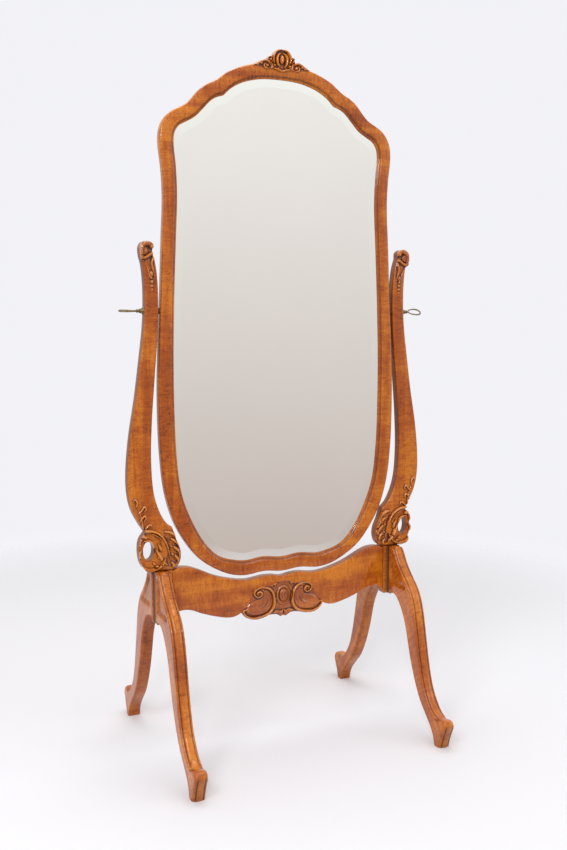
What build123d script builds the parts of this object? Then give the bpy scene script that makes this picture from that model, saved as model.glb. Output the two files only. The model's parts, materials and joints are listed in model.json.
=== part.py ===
"""Cheval floor mirror: a shaped, glazed frame that tilts between two scrolled standards.

Frame of reference, millimetres: X to the right, Y to the back, Z up, origin on the floor at the
middle of the stand. Every sub-part is written where it stands, to parts/NODE.step.
"""
from build123d import *
import math
import os

# ---------------------------------------------------------------- driving dimensions
PIVOT_Z = 1170.0            # height of the tilting axis
FRAME_DEPTH = 25.0          # mirror frame, front to back
MOULDING_WIDTH = 8.0        # hollow moulding between the frame's face and the glass
MOULDING_DEPTH = 7.5
LIP_DEPTH = 1.5             # wood left in front of the glass at the sight edge
GLASS_THICKNESS = 5.0
GLASS_REBATE = 6.0          # how far the glass rebate runs behind the sight edge
GLASS_CLEARANCE = 1.0
BEVEL_WIDTH = 21.0
BEVEL_DEPTH = 2.0
BOARD_REBATE = 11.0         # rebate of the back board, from the sight edge
BOARD_THICKNESS = 4.0
BOARD_FACE = 5.0            # y of the back board's front face
BOARD_SCREW_LEVELS = (560, 700, 880, 1060, 1240, 1420, 1540, 1660)
GLASS_BLOCK_LEVELS = (640, 810, 980, 1150, 1320, 1490)
GLASS_BLOCK_WIDTH = 14.0

STANDARD_DEPTH = 28.0       # standards and cross rail, front to back
CARVING_PROUD = 7.0         # how far the planted carvings stand in front
SCROLL_PROUD = 11.0         # the same, for the volute at the standard's top
LEG_WIDTH = 35.0
LEG_CENTRE_X = 349.5
LEG_BAND_WIDTH = 20.0       # raised band along the top of each leg
LEG_BAND_RISE = 5.0
LEG_PANEL_DEPTH = 3.0       # sunk panel on the leg's cheeks, beside the post
POST_DEPTH = 56.0
POST_TOP = 497.0
POST_FOOT = 356.0
POST_ROUNDING = 5.0
STRIP_HALF_DEPTH = 17.0     # proud strip on the post, where the rail meets it
RAIL_END_X = 318.0          # where the cross rail meets the corner post

SHANK_RADIUS = 4.0
THREAD_RADIUS = 3.0
RUNNING_CLEARANCE = 0.05    # on the radius, where a screw turns in a hole
SEAT_IN = 346.0             # |x| of the washer's seat in the standard
SEAT_OUT = 379.5            # |x| of the escutcheon's seat on the standard
PLATE_OUT = 336.8           # |x| of the pivot plate's outer face
PLATE_THICKNESS = 3.0
PLATE_HALF_WIDTH = 8.0
PLATE_HALF_HEIGHT = 22.0
NUT_LENGTH = 20.0                   # round nut behind the pivot plate, from its outer face
BUSHING_RADIUS = 6.0                # also the radius of that nut
WASHER_RADIUS = 7.5
ESCUTCHEON_RADIUS = 10.0
RING_START = 401.0                  # |x| where a thumbscrew's finger ring begins
RING_LENGTH = 44.0
RING_WIDTH = 28.0
RING_WIRE = 4.0
RING_END_RADIUS = 8.0               # centre line of the ring: a four-centred oval
RING_SIDE_RADIUS = 28.0
RING_TILT = 40.0                    # degrees, the right thumbscrew's ring at rest

FRAME_FRONT = -FRAME_DEPTH / 2
FRAME_BACK = FRAME_DEPTH / 2
SIGHT_Y = FRAME_FRONT + MOULDING_DEPTH
GLASS_Y = SIGHT_Y + LIP_DEPTH
STANDARD_FRONT = -STANDARD_DEPTH / 2
STANDARD_BACK = STANDARD_DEPTH / 2

# ---------------------------------------------------------------- outlines, right half, (x, z)
ARCH_RADIUS = 322.0
ARCH_TOP = 1816.3
ARCH_END = 150.0
FRAME_OUTER = [
    (170, 1764), (187, 1752.5), (205, 1744), (226, 1728.5), (245, 1707.5), (262, 1690.5),
    (281, 1680), (304, 1667), (322, 1648), (332.5, 1622), (334.5, 1590), (328, 1530), (325, 1460),
    (330, 1350), (336.5, 1200), (343, 1075), (346.7, 950), (343, 800), (331, 695), (308, 618),
    (276, 560), (238, 514), (195, 484), (152, 464.5), (110, 457.5), (54, 463)]
FRAME_OUTER_FOOT = (0, 458)
FACE_ARCH = [(0, 1782), (62, 1778), (110, 1764.5), (143, 1746)]
FACE_CUSP = (164, 1727)
FACE_SIDE = [
    (181, 1721.5), (200, 1709.5), (222, 1687), (242, 1667), (264, 1654), (286, 1641), (300, 1620),
    (303.5, 1592), (298.5, 1535), (296, 1465), (301, 1350), (307.5, 1200), (311.5, 1050),
    (311.3, 920), (306.5, 790), (294, 692), (268, 620), (229, 551), (188, 511), (142, 494.5),
    (105, 489.5), (57, 495)]
FACE_FOOT = (0, 489.5)
CORNER_JOINT = (240, 545)           # middle of the frame's lower joint
CORNER_ALONG = (0.745, 0.667)       # unit direction of the frame there
SHOULDER_JOINT_Z = 1590.0           # level of the frame's upper joint

STANDARD_OUTER = [
    (389, 1304), (385, 1290), (380.5, 1245), (379.8, 1190), (383, 1130), (393, 1050),
    (407, 950), (424, 850), (433, 760), (432, 705), (423, 662), (406, 627)]
STANDARD_WAIST = (390, 602)
STANDARD_KNEE = [(403, 583), (407, 550), (401, 518)]
STANDARD_HEEL = (385, POST_TOP)
STANDARD_LOBE = [(303, 505), (294, 523), (294.5, 550), (306, 579)]
STANDARD_BEAK = (316, 610)
STANDARD_INNER = [
    (331, 622), (347, 648), (363, 698), (369.3, 780), (366.5, 875), (356.5, 1000), (347, 1110),
    (344, 1200), (346.5, 1262), (352, 1297)]
STANDARD_NECK = (359, 1320)
VOLUTE_CENTRE = (374.5, 1328)
VOLUTE_RADIUS = 16.0
KNEE_HOLE = (382, 553)
KNEE_HOLE_SIZE = (14.0, 25.0)       # half width, half height

RAIL_TOP = [(0, 444.5), (27, 449), (52, 450), (105, 444.5), (152, 452), (200, 467), (240, 486),
            (270, 497.5), (300, 499.5)]
RAIL_TOP_END = (RAIL_END_X, 493)
RAIL_FOOT_END = (RAIL_END_X, 366)
RAIL_FOOT = [(303, 382), (272, 382), (238, 368.5), (200, 355.5), (160, 346.5), (138, 348.5)]
RAIL_NOTCH = (123, 355.5)
RAIL_LOBE = [(111, 342), (94, 334), (74, 332.5), (52, 336.5), (32, 339), (17, 337)]
RAIL_DROP = (7, 330.5)
RAIL_NICK = (0, 334)

LEG_CROWN = [
    (28, 498), (43, 499), (54, 487), (68, 465), (86, 444), (108, 423), (128, 405), (146, 381),
    (161, 345), (171, 307), (181, 262), (192, 215), (204, 172), (218, 137), (238, 107),
    (262, 84), (283, 76), (302, 79), (314, 75), (317.5, 65), (309, 42), (302, 22)]
LEG_TOE = (296, 0)
LEG_HEEL = (268, 0)
LEG_UNDER = [
    (262, 20), (250, 40), (222, 70), (195, 98), (170, 138), (152, 176), (138, 212), (126, 250),
    (114, 287), (100, 316), (84, 339), (64, 358), (44, 364)]
LEG_PANEL_FOOT = 390.0

CREST_SIDE = [(80, 1801.5), (76, 1807), (66, 1812), (56, 1815.5), (47, 1819.5), (40, 1819)]
CREST_HORN = (37, 1827)
CREST_SHOULDER = [(30, 1830), (24, 1835)]
CREST_LEAF = (18, 1844)
CREST_TIP = [(9, 1847.5), (0, 1850)]
CREST_FOOT = [(62, 1800), (45, 1796), (26, 1798), (0, 1791)]
CREST_BACK = 2.0                    # y of the crest's back where it stands above the rail


# ---------------------------------------------------------------- helpers
def mirrored(points):
    """The same points on the left, in reverse order, so that they carry on round the outline."""
    return [(-x, z) for x, z in reversed(points)]


def inset(loop, distance):
    """Offset a closed loop of points inwards. The loop runs clockwise."""
    count = len(loop)
    moved = []
    for i, (x, z) in enumerate(loop):
        normals = []
        for a, b in ((loop[i - 1], (x, z)), ((x, z), loop[(i + 1) % count])):
            dx, dz = b[0] - a[0], b[1] - a[1]
            length = math.hypot(dx, dz)
            normals.append((dz / length, -dx / length))
        (ax, az), (bx, bz) = normals
        scale = distance / (1 + ax * bx + az * bz)
        moved.append((x + (ax + bx) * scale, z + (az + bz) * scale))
    return moved


def slab(edges, y_from, y_to):
    """Extrude a closed outline, given as edges in the XZ plane, from y_from to y_to."""
    face = make_face(edges)
    solid = extrude(face, amount=y_to - y_from, dir=(0, 1, 0))
    return Pos(0, y_from, 0) * solid


def at(point, y=0.0):
    """A point of the XZ plane in space."""
    return Vector(point[0], y, point[1])


def curve(points):
    """A smooth edge through points of the XZ plane."""
    return Spline(*[at(p) for p in points])


def straight(*points):
    """Straight edges through points of the XZ plane."""
    return Polyline(*[at(p) for p in points])


def block(x0, x1, y0, y1, z0, z1):
    """An upright box between two corners."""
    size = Box(abs(x1 - x0), abs(y1 - y0), abs(z1 - z0))
    return Pos((x0 + x1) / 2, (y0 + y1) / 2, (z0 + z1) / 2) * size


def rod(radius, start, end):
    """A round bar from start to end."""
    start, end = Vector(*start), Vector(*end)
    along = end - start
    plane = Plane(origin=start, z_dir=along)
    return extrude(plane * Circle(radius), amount=along.length)


def wood_screw(head, direction, length, radius=1.6):
    """A countersunk wood screw: head centre on the surface, direction into the wood."""
    into = Vector(*direction).normalized()
    start = Vector(*head)
    shaft = rod(radius, start, start + into * length)
    plane = Plane(origin=start, z_dir=into)
    cone = loft([plane * Circle(2.1 * radius), plane.offset(1.8) * Circle(radius)])
    return shaft + cone


def to_left(shape):
    """The same piece on the left side of the stand."""
    return mirror(shape, about=Plane.YZ)


def save(name, shape):
    """Write one sub-part."""
    shape.label = name
    export_step(shape, f"parts/{name}.step")


# ---------------------------------------------------------------- the mirror frame
class Contour:
    """A closed outline of the frame: an arched top between two corners, and one long U below."""

    def __init__(self, top, side):
        self.top, self.side = top, side

    def edges(self):
        return [curve(self.top), curve([self.top[-1]] + self.side + [self.top[0]])]

    def inset(self, distance):
        loop = inset(self.top + self.side, distance)
        return Contour(loop[:len(self.top)], loop[len(self.top):])


def face_contour():
    """Inner edge of the frame's flat face, clockwise from the left cusp."""
    top = [(-FACE_CUSP[0], FACE_CUSP[1])] + mirrored(FACE_ARCH)[:-1] + FACE_ARCH + [FACE_CUSP]
    return Contour(top, FACE_SIDE + [FACE_FOOT] + mirrored(FACE_SIDE))


def outer_edges():
    """Outside of the frame: a round arch on top of one long U."""
    rise = ARCH_RADIUS - math.sqrt(ARCH_RADIUS ** 2 - ARCH_END ** 2)
    right, left = (ARCH_END, ARCH_TOP - rise), (-ARCH_END, ARCH_TOP - rise)
    arch = ThreePointArc(at(left), at((0, ARCH_TOP)), at(right))
    side = [right] + FRAME_OUTER + [FRAME_OUTER_FOOT] + mirrored(FRAME_OUTER) + [left]
    return [arch, curve(side)]


FACE = face_contour()
SIGHT = FACE.inset(MOULDING_WIDTH)


def frame_ring():
    """The whole frame before it is cut into its four pieces."""
    ring = slab(outer_edges(), FRAME_FRONT, FRAME_BACK)
    ring -= slab(SIGHT.edges(), FRAME_FRONT - 1, FRAME_BACK + 1)
    steps = 2
    for i in range(steps):
        part = (i + 1) / steps
        floor = FRAME_FRONT + MOULDING_DEPTH * part
        opening = FACE.inset(MOULDING_WIDTH * i / steps)
        ring -= slab(opening.edges(), FRAME_FRONT - 1, floor - MOULDING_DEPTH / steps / 2)
    ring -= slab(SIGHT.inset(-GLASS_REBATE).edges(), GLASS_Y, FRAME_BACK + 1)
    ring -= slab(SIGHT.inset(-BOARD_REBATE).edges(), BOARD_FACE, FRAME_BACK + 1)
    return ring


def corner_reach(distance):
    """A point on the lower joint's line, measured outwards from the middle of the joint."""
    along_x, along_z = CORNER_ALONG
    return (CORNER_JOINT[0] + along_z * distance, CORNER_JOINT[1] - along_x * distance)


def lower_corner_block():
    """Everything below the two lower joints of the frame."""
    inner = corner_reach(-CORNER_JOINT[0] / CORNER_ALONG[1])
    outer = corner_reach(300)
    roof = [(-outer[0], outer[1]), inner, outer]
    floor = [(outer[0], 300), (-outer[0], 300)]
    return slab(straight(*roof, *floor, roof[0]), -50, 50)


def frame_tongues():
    """Loose tongues across the four joints of the frame."""
    tongues = []
    across, thick, along = 17, 4, 40
    upper = block(312, 312 + across, 0, thick, SHOULDER_JOINT_Z - along / 2, SHOULDER_JOINT_Z + along / 2)
    tongues += [upper, to_left(upper)]
    centre = corner_reach(6)
    turn = math.degrees(math.atan2(CORNER_ALONG[0], CORNER_ALONG[1]))
    lower = Pos(centre[0], thick / 2, centre[1]) * Rot(0, turn, 0) * Box(across, thick, along)
    tongues += [lower, to_left(lower)]
    return tongues


def plate_block(x_out):
    """The pivot plate's outline, from its seat out to x_out."""
    return block(PLATE_OUT - PLATE_THICKNESS, x_out, -PLATE_HALF_WIDTH, PLATE_HALF_WIDTH,
                 PIVOT_Z - PLATE_HALF_HEIGHT, PIVOT_Z + PLATE_HALF_HEIGHT)


def pivot_pocket():
    """Pocket in the stile's outer edge for the pivot plate and its nut, open to the outside."""
    pocket = plate_block(PLATE_OUT + 9)
    nut = rod(BUSHING_RADIUS, (PLATE_OUT - NUT_LENGTH, 0, PIVOT_Z), (PLATE_OUT, 0, PIVOT_Z))
    return pocket + nut


def pivot_plate():
    """Brass plate with a round nut behind it, threaded for the thumbscrew."""
    nut_end = (PLATE_OUT - NUT_LENGTH, 0, PIVOT_Z)
    plate = plate_block(PLATE_OUT)
    plate += rod(BUSHING_RADIUS, nut_end, (PLATE_OUT - PLATE_THICKNESS, 0, PIVOT_Z))
    return plate - rod(THREAD_RADIUS + RUNNING_CLEARANCE, nut_end, (PLATE_OUT + 1, 0, PIVOT_Z))


def pivot_plate_screws():
    """Two screws above and below each thumbscrew."""
    screws = []
    for dz in (-16, 16):
        screw = wood_screw((PLATE_OUT, 0, PIVOT_Z + dz), (-1, 0, 0), 16)
        screws += [screw, to_left(screw)]
    return screws


def looking_glass():
    """Glass plate, bevelled all round on the front."""
    edge = SIGHT.inset(-(GLASS_REBATE - GLASS_CLEARANCE))
    plate = slab(edge.edges(), GLASS_Y + BEVEL_DEPTH, GLASS_Y + GLASS_THICKNESS)
    raised = edge.inset(BEVEL_WIDTH)
    steps = 4
    for i in range(steps):
        back = GLASS_Y + BEVEL_DEPTH * (1 - i / steps)
        front = GLASS_Y + BEVEL_DEPTH * (1 - (i + 1) / steps)
        part = (i + 1) / steps
        tread = edge.inset(BEVEL_WIDTH * part) if i < steps - 1 else raised
        plate += slab(tread.edges(), front, back)
    return plate


def back_board():
    """Thin board let into the back of the frame."""
    return slab(SIGHT.inset(-(BOARD_REBATE - 0.5)).edges(), BOARD_FACE, BOARD_FACE + BOARD_THICKNESS)


def crossing(contour_points, level):
    """|x| of the right side of an outline at a level."""
    points = sorted([p for p in contour_points if p[0] > 0], key=lambda p: p[1])
    for (xa, za), (xb, zb) in zip(points, points[1:]):
        if za <= level <= zb:
            return xa + (xb - xa) * (level - za) / (zb - za)
    raise ValueError(f"no crossing at {level}")


def back_board_screws():
    """Screws through the board's rim into the rebate, at both sides and at head and foot."""
    middle = SIGHT.inset(-(GLASS_REBATE + BOARD_REBATE) / 2)
    board_back = BOARD_FACE + BOARD_THICKNESS
    screws = []
    for level in BOARD_SCREW_LEVELS:
        x = crossing(middle.side, level)
        screw = wood_screw((x, board_back, level), (0, -1, 0), 10)
        screws += [screw, to_left(screw)]
    arch_middle = middle.top[len(middle.top) // 2]
    foot_middle = middle.side[len(middle.side) // 2]
    for x, z in (arch_middle, foot_middle):
        screws.append(wood_screw((x, board_back, z), (0, -1, 0), 10))
    return screws


def glass_blocks():
    """Softwood blocks between the glass and the back board, at the rim of the glass."""
    blocks = []
    front, back = GLASS_Y + GLASS_THICKNESS, BOARD_FACE
    for level in GLASS_BLOCK_LEVELS:
        x = crossing(SIGHT.side, level)
        wedge = block(x - 1 - GLASS_BLOCK_WIDTH, x - 1, front, back, level - 15, level + 15)
        blocks += [wedge, to_left(wedge)]
    for level in (SIGHT.top[len(SIGHT.top) // 2][1] - 12, SIGHT.side[len(SIGHT.side) // 2][1] - 2):
        blocks.append(block(-20, 20, front, back, level, level + GLASS_BLOCK_WIDTH))
    return blocks


def crest_carving():
    """Carved crest, planted on the face of the head and standing above it."""
    side = [curve(CREST_SIDE), straight(CREST_SIDE[-1], CREST_HORN)]
    side += [curve([CREST_HORN] + CREST_SHOULDER), straight(CREST_SHOULDER[-1], CREST_LEAF)]
    tip = [CREST_LEAF] + CREST_TIP + mirrored(CREST_TIP[:-1]) + [(-CREST_LEAF[0], CREST_LEAF[1])]
    foot = [CREST_SIDE[0]] + CREST_FOOT + mirrored(CREST_FOOT[:-1])
    foot.append((-CREST_SIDE[0][0], CREST_SIDE[0][1]))
    edges = side + [mirror(edge, about=Plane.YZ) for edge in side] + [curve(tip), curve(foot)]
    crest = slab(edges, FRAME_FRONT - CARVING_PROUD - 2, CREST_BACK)
    arch_back = slab(outer_edges(), FRAME_FRONT, FRAME_BACK)
    return crest - arch_back


# ---------------------------------------------------------------- the stand
def standard_outline():
    """Front outline of the right standard, clockwise from the neck of its scroll."""
    centre_x, centre_z = VOLUTE_CENTRE
    volute = ThreePointArc(at(STANDARD_NECK), at((centre_x, centre_z + VOLUTE_RADIUS)),
                           at(STANDARD_OUTER[0]))
    outer = curve(STANDARD_OUTER + [STANDARD_WAIST])
    knee = curve([STANDARD_WAIST] + STANDARD_KNEE + [STANDARD_HEEL])
    base = straight(STANDARD_HEEL, (RAIL_END_X, POST_TOP))
    lobe = curve([(RAIL_END_X, POST_TOP)] + STANDARD_LOBE + [STANDARD_BEAK])
    inner = curve([STANDARD_BEAK] + STANDARD_INNER + [STANDARD_NECK])
    return [volute, outer, knee, base, lobe, inner]


def knee_hole(grow=0.0):
    """The pierced opening in the knee, through everything."""
    plane = Plane(origin=(KNEE_HOLE[0], -60, KNEE_HOLE[1]), x_dir=(1, 0, 0), z_dir=(0, 1, 0))
    half_width, half_height = KNEE_HOLE_SIZE
    return extrude(plane * Ellipse(half_width + grow, half_height + grow), amount=120)


def standard():
    """Right standard: a sawn board, pierced at the knee and bored for the thumbscrew."""
    board = slab(standard_outline(), STANDARD_FRONT, STANDARD_BACK) - knee_hole()
    bore = rod(BUSHING_RADIUS, (330, 0, PIVOT_Z), (400, 0, PIVOT_Z))
    washer_seat = rod(WASHER_RADIUS, (330, 0, PIVOT_Z), (SEAT_IN, 0, PIVOT_Z))
    escutcheon_seat = rod(ESCUTCHEON_RADIUS, (SEAT_OUT, 0, PIVOT_Z), (400, 0, PIVOT_Z))
    return board - bore - washer_seat - escutcheon_seat


def ring_of(radius_out, radius_in, x0, x1):
    """A plain washer or tube on the tilting axis."""
    outer = rod(radius_out, (x0, 0, PIVOT_Z), (x1, 0, PIVOT_Z))
    return outer - rod(radius_in, (x0 - 1, 0, PIVOT_Z), (x1 + 1, 0, PIVOT_Z))


def turned(profile):
    """Solid of revolution about the tilting axis, from (x, radius) points."""
    points = [(profile[0][0], 0)] + profile + [(profile[-1][0], 0)]
    edges = Polyline(*[Vector(x, 0, PIVOT_Z + r) for x, r in points], close=True)
    return revolve(make_face(edges), Axis((0, 0, PIVOT_Z), (1, 0, 0)), 360)


def escutcheon():
    """Brass rosette around the hole on the standard's outer edge."""
    profile = [(SEAT_OUT, ESCUTCHEON_RADIUS), (SEAT_OUT + 2, ESCUTCHEON_RADIUS), (SEAT_OUT + 4, 8),
               (SEAT_OUT + 8, 6), (SEAT_OUT + 10, 5.8)]
    hole = rod(SHANK_RADIUS + RUNNING_CLEARANCE, (370, 0, PIVOT_Z), (400, 0, PIVOT_Z))
    return turned(profile) - hole


def finger_ring(tilt):
    """Flat oval ring of round wire, joined from four arcs, turned about the screw by tilt degrees."""
    end_centre = (RING_LENGTH - RING_WIRE) / 2 - RING_END_RADIUS
    side_centre = RING_SIDE_RADIUS - (RING_WIDTH - RING_WIRE) / 2
    half_turn = math.degrees(math.atan2(side_centre, end_centre))
    arcs = (
        (end_centre, 0, RING_END_RADIUS, -half_turn, 2 * half_turn),
        (0, -side_centre, RING_SIDE_RADIUS, half_turn, 180 - 2 * half_turn),
        (-end_centre, 0, RING_END_RADIUS, 180 - half_turn, 2 * half_turn),
        (0, side_centre, RING_SIDE_RADIUS, 180 + half_turn, 180 - 2 * half_turn))
    pieces = []
    for x, y, radius, first, turn in arcs:
        plane = Plane(origin=(radius, 0, 0), x_dir=(1, 0, 0), z_dir=(0, 1, 0))
        arc = revolve(plane * Circle(RING_WIRE / 2), Axis.Z, turn)
        place = Pos(RING_START + RING_LENGTH / 2 + x, y, PIVOT_Z)
        pieces.append(place * Rot(0, 0, first) * arc)
    ring = pieces[0] + pieces[1] + pieces[2] + pieces[3]
    return ring.rotate(Axis((0, 0, PIVOT_Z), (1, 0, 0)), tilt)


def thumbscrew(tilt):
    """Threaded screw with a shank, turned collars and a finger ring."""
    profile = [(PLATE_OUT - 16, THREAD_RADIUS), (SEAT_IN, THREAD_RADIUS), (SEAT_IN, SHANK_RADIUS),
               (SEAT_OUT + 10.3, SHANK_RADIUS), (SEAT_OUT + 10.3, 5.2), (SEAT_OUT + 12.5, 5.2),
               (SEAT_OUT + 13.5, 3.6), (SEAT_OUT + 16, 3.2), (SEAT_OUT + 17, 4.6),
               (SEAT_OUT + 19, 4.6), (SEAT_OUT + 20, 3), (RING_START + 3, 2.4)]
    return turned(profile) + finger_ring(tilt)


def planted(outline, x, z, thickness):
    """A flat outline planted on the standard's front, standing proud of it by thickness."""
    plane = Plane(origin=(x, STANDARD_FRONT - thickness, z), x_dir=(1, 0, 0), z_dir=(0, 1, 0))
    return extrude(plane * outline, amount=thickness)


def scroll_carving():
    """Volute, collar and leaf pendant on the front of the standard's top."""
    volute = planted(Circle(VOLUTE_RADIUS - 3), *VOLUTE_CENTRE, SCROLL_PROUD)
    collar = planted(Rectangle(32, 9), 372, 1302.5, 6)
    neck = planted(Rectangle(20, 26), 372, 1313, 6)
    leaf = planted(Ellipse(9, 42), 363, 1262, 5)
    return volute + collar + leaf + neck


def knee_carving():
    """C-scroll round the opening, an acanthus lobe beside it and a vine above."""
    front, back = STANDARD_FRONT - CARVING_PROUD, STANDARD_FRONT
    scroll = planted(Ellipse(32, 46), 375, 550, CARVING_PROUD)
    lobe = slab([curve([(345, 592), (318, 578), (303, 545), (312, 512), (345, 505)]),
                 straight((345, 505), (345, 592))], front, back)
    vine = slab([curve([(392, 598), (408, 640), (417, 690), (421, 695)]),
                 curve([(421, 695), (402, 668), (390, 632), (378, 596)]),
                 straight((378, 596), (392, 598))], front + 3, back)
    carving = scroll + lobe + vine
    plate = slab(standard_outline(), front - 1, back)
    return (carving & plate) - knee_hole()


def corner_post():
    """Block between the legs, with a proud rounded strip where the rail meets it."""
    inner_x, outer_x = LEG_CENTRE_X - LEG_WIDTH / 2, LEG_CENTRE_X + LEG_WIDTH / 2
    half_depth = POST_DEPTH / 2
    body = block(inner_x, outer_x, -half_depth, half_depth, POST_FOOT, POST_TOP)
    strip = block(RAIL_END_X, inner_x, -STRIP_HALF_DEPTH, STRIP_HALF_DEPTH, POST_FOOT + 4, POST_TOP)
    strip = fillet(strip.edges().filter_by(Axis.Z).group_by(Axis.X)[0], POST_ROUNDING)
    bead = rod(POST_ROUNDING, (outer_x, 0, POST_FOOT), (outer_x, 0, POST_TOP))
    return body + strip + bead


def leg_side(crown):
    """Side outline of a front leg in the YZ plane, from points given as (distance forward, z)."""
    def place(points):
        return [Vector(0, -y, z) for y, z in points]
    top = Spline(*place(crown + [LEG_TOE]))
    foot = Polyline(*place([LEG_TOE, LEG_HEEL]))
    under = Spline(*place([LEG_HEEL] + LEG_UNDER + [(POST_DEPTH / 2, 365)]))
    joint = Polyline(*place([(POST_DEPTH / 2, 365), crown[0]]))
    return make_face([top, foot, under, joint])


def sunk_crown(distance):
    """The crown of the leg, lowered square to itself."""
    loop = LEG_CROWN + [LEG_TOE, LEG_HEEL, (POST_DEPTH / 2, 365)]
    lowered = inset(loop, distance)[1:len(LEG_CROWN)]
    return [(POST_DEPTH / 2, LEG_CROWN[0][1] - distance)] + lowered


def front_leg():
    """Right front leg: moulded cabriole with a raised band and a scrolled toe."""
    lowered = sunk_crown(LEG_BAND_RISE)
    cheeks = extrude(leg_side(lowered), amount=LEG_WIDTH / 2, both=True)
    band = extrude(leg_side(LEG_CROWN), amount=LEG_BAND_WIDTH / 2, both=True)
    leg = cheeks + band
    panel_edge = sunk_crown(LEG_BAND_RISE + 12)
    top = [p for p in panel_edge if p[1] > LEG_PANEL_FOOT]
    corner = (POST_DEPTH / 2, LEG_PANEL_FOOT)
    outline = [Vector(0, -y, z) for y, z in top + [(top[-1][0] + 6, LEG_PANEL_FOOT), corner]]
    panel = make_face(Polyline(*outline, close=True))
    sink = extrude(panel, amount=LEG_PANEL_DEPTH)
    half = LEG_WIDTH / 2
    leg -= Pos(half - LEG_PANEL_DEPTH, 0, 0) * sink
    leg -= Pos(-half, 0, 0) * sink
    return Pos(LEG_CENTRE_X, 0, 0) * leg


def cross_rail():
    """Shaped apron board between the corner posts."""
    def both(points):
        return mirrored(points)[:-1] + points
    top = curve(both(RAIL_TOP))
    edges = [top]
    for side in (1, -1):
        def put(points):
            return [(side * x, z) for x, z in points]
        edges.append(straight(*put([RAIL_TOP[-1], RAIL_TOP_END, RAIL_FOOT_END])))
        edges.append(curve(put([RAIL_FOOT_END] + RAIL_FOOT + [RAIL_NOTCH])))
        edges.append(curve(put([RAIL_NOTCH] + RAIL_LOBE + [RAIL_DROP])))
        edges.append(straight(*put([RAIL_DROP, RAIL_NICK])))
    return slab(edges, STANDARD_FRONT, STANDARD_BACK)


def cross_rail_carving(rail):
    """Oval boss in a ring between two C-scrolls, cut from one planted block."""
    carving = planted(Ellipse(21, 28), 0, 392, CARVING_PROUD + 1)
    for side in (1, -1):
        scroll = planted(Ellipse(33, 24), side * 60, 398, CARVING_PROUD - 1)
        lower = planted(Ellipse(42, 32), side * 78, 366, CARVING_PROUD - 2)
        inner = planted(Ellipse(24, 24), side * 30, 362, CARVING_PROUD - 2)
        carving += scroll + lower + inner
    outline = extrude(rail.faces().sort_by(Axis.Y)[0], amount=CARVING_PROUD + 5, dir=(0, -1, 0))
    return carving & outline


def rail_tenons():
    """Loose tenons between the rail and the posts."""
    tenon = block(RAIL_END_X - 30, RAIL_END_X + 22, -5, 5, 395, 475)
    return [tenon, to_left(tenon)]


def leg_dowels():
    """Two dowels in each of the eight joints between leg and post, as through pairs."""
    dowels = []
    for sx in (1, -1):
        for sy in (1, -1):
            for z in (400, 455):
                start = (sx * LEG_CENTRE_X, sy * (POST_DEPTH / 2 - 12), z)
                end = (sx * LEG_CENTRE_X, sy * (POST_DEPTH / 2 + 14), z)
                dowels.append(rod(4, start, end))
    return dowels


def upright_dowels():
    """Two dowels from each standard down into its post."""
    dowels = []
    for x in (LEG_CENTRE_X - 9, LEG_CENTRE_X + 9):
        for side in (1, -1):
            dowels.append(rod(4, (side * x, 0, POST_TOP - 18), (side * x, 0, POST_TOP + 16)))
    return dowels


def less(solid, others):
    """Cut pockets for other pieces in a piece."""
    for other in others:
        solid = solid - other
    return solid


# ---------------------------------------------------------------- build and write
def build_mirror():
    """The body that tilts."""
    tongues = frame_tongues()
    plates = [to_left(pivot_plate()), pivot_plate()]
    plate_screws = pivot_plate_screws()
    board_screws = back_board_screws()
    pockets = [pivot_pocket(), to_left(pivot_pocket())] + tongues
    ring = frame_ring()
    below = lower_corner_block()
    above = block(-500, 500, -50, 50, SHOULDER_JOINT_Z, 2000)
    between = block(0, 500, -50, 50, 300, SHOULDER_JOINT_Z) - below
    save("frame_top_rail", less(ring & above, pockets))
    save("frame_bottom_rail", less(ring & below, pockets))
    save("frame_right_stile", less(ring & between, pockets))
    save("frame_left_stile", less(ring & to_left(between), pockets))
    save("frame_tongues", Compound(tongues))
    save("mirror_glass", looking_glass())
    save("glass_blocks", Compound(glass_blocks()))
    save("back_board", back_board())
    save("back_board_screws", Compound(board_screws))
    save("crest_carving", crest_carving())
    for side, plate in zip(("left", "right"), plates):
        save(f"{side}_pivot_plate", plate)
    save("pivot_plate_screws", Compound(plate_screws))


def build_stand():
    """The body that stands on the floor."""
    washer = ring_of(WASHER_RADIUS, SHANK_RADIUS + 0.4, PLATE_OUT + 0.3, SEAT_IN)
    bushing = ring_of(BUSHING_RADIUS, SHANK_RADIUS + RUNNING_CLEARANCE, SEAT_IN, SEAT_OUT)
    rosette = escutcheon()
    upright_pins, leg_pins, tenons = upright_dowels(), leg_dowels(), rail_tenons()
    upright = less(standard(), upright_pins)
    post = less(corner_post(), upright_pins + leg_pins + tenons)
    leg = less(front_leg(), leg_pins)
    back_leg = mirror(leg, about=Plane.XZ)
    rail = cross_rail()
    pairs = {"upright": upright, "corner_post": post, "front_leg": leg, "back_leg": back_leg,
             "scroll_carving": scroll_carving(), "knee_carving": knee_carving(),
             "friction_washer": washer, "bushing": bushing, "escutcheon": rosette}
    for name, piece in pairs.items():
        save(f"right_{name}", piece)
        save(f"left_{name}", to_left(piece))
    save("cross_rail", less(rail, tenons))
    save("cross_rail_carving", cross_rail_carving(rail))
    save("cross_rail_tenons", Compound(tenons))
    save("leg_dowels", Compound(leg_pins))
    save("upright_dowels", Compound(upright_pins))


def build_thumbscrews():
    """The two bodies that turn in the mirror's pivot plates."""
    save("right_thumbscrew", thumbscrew(RING_TILT))
    save("left_thumbscrew", to_left(thumbscrew(0)))


os.makedirs("parts", exist_ok=True)
build_mirror()
build_stand()
build_thumbscrews()
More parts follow.
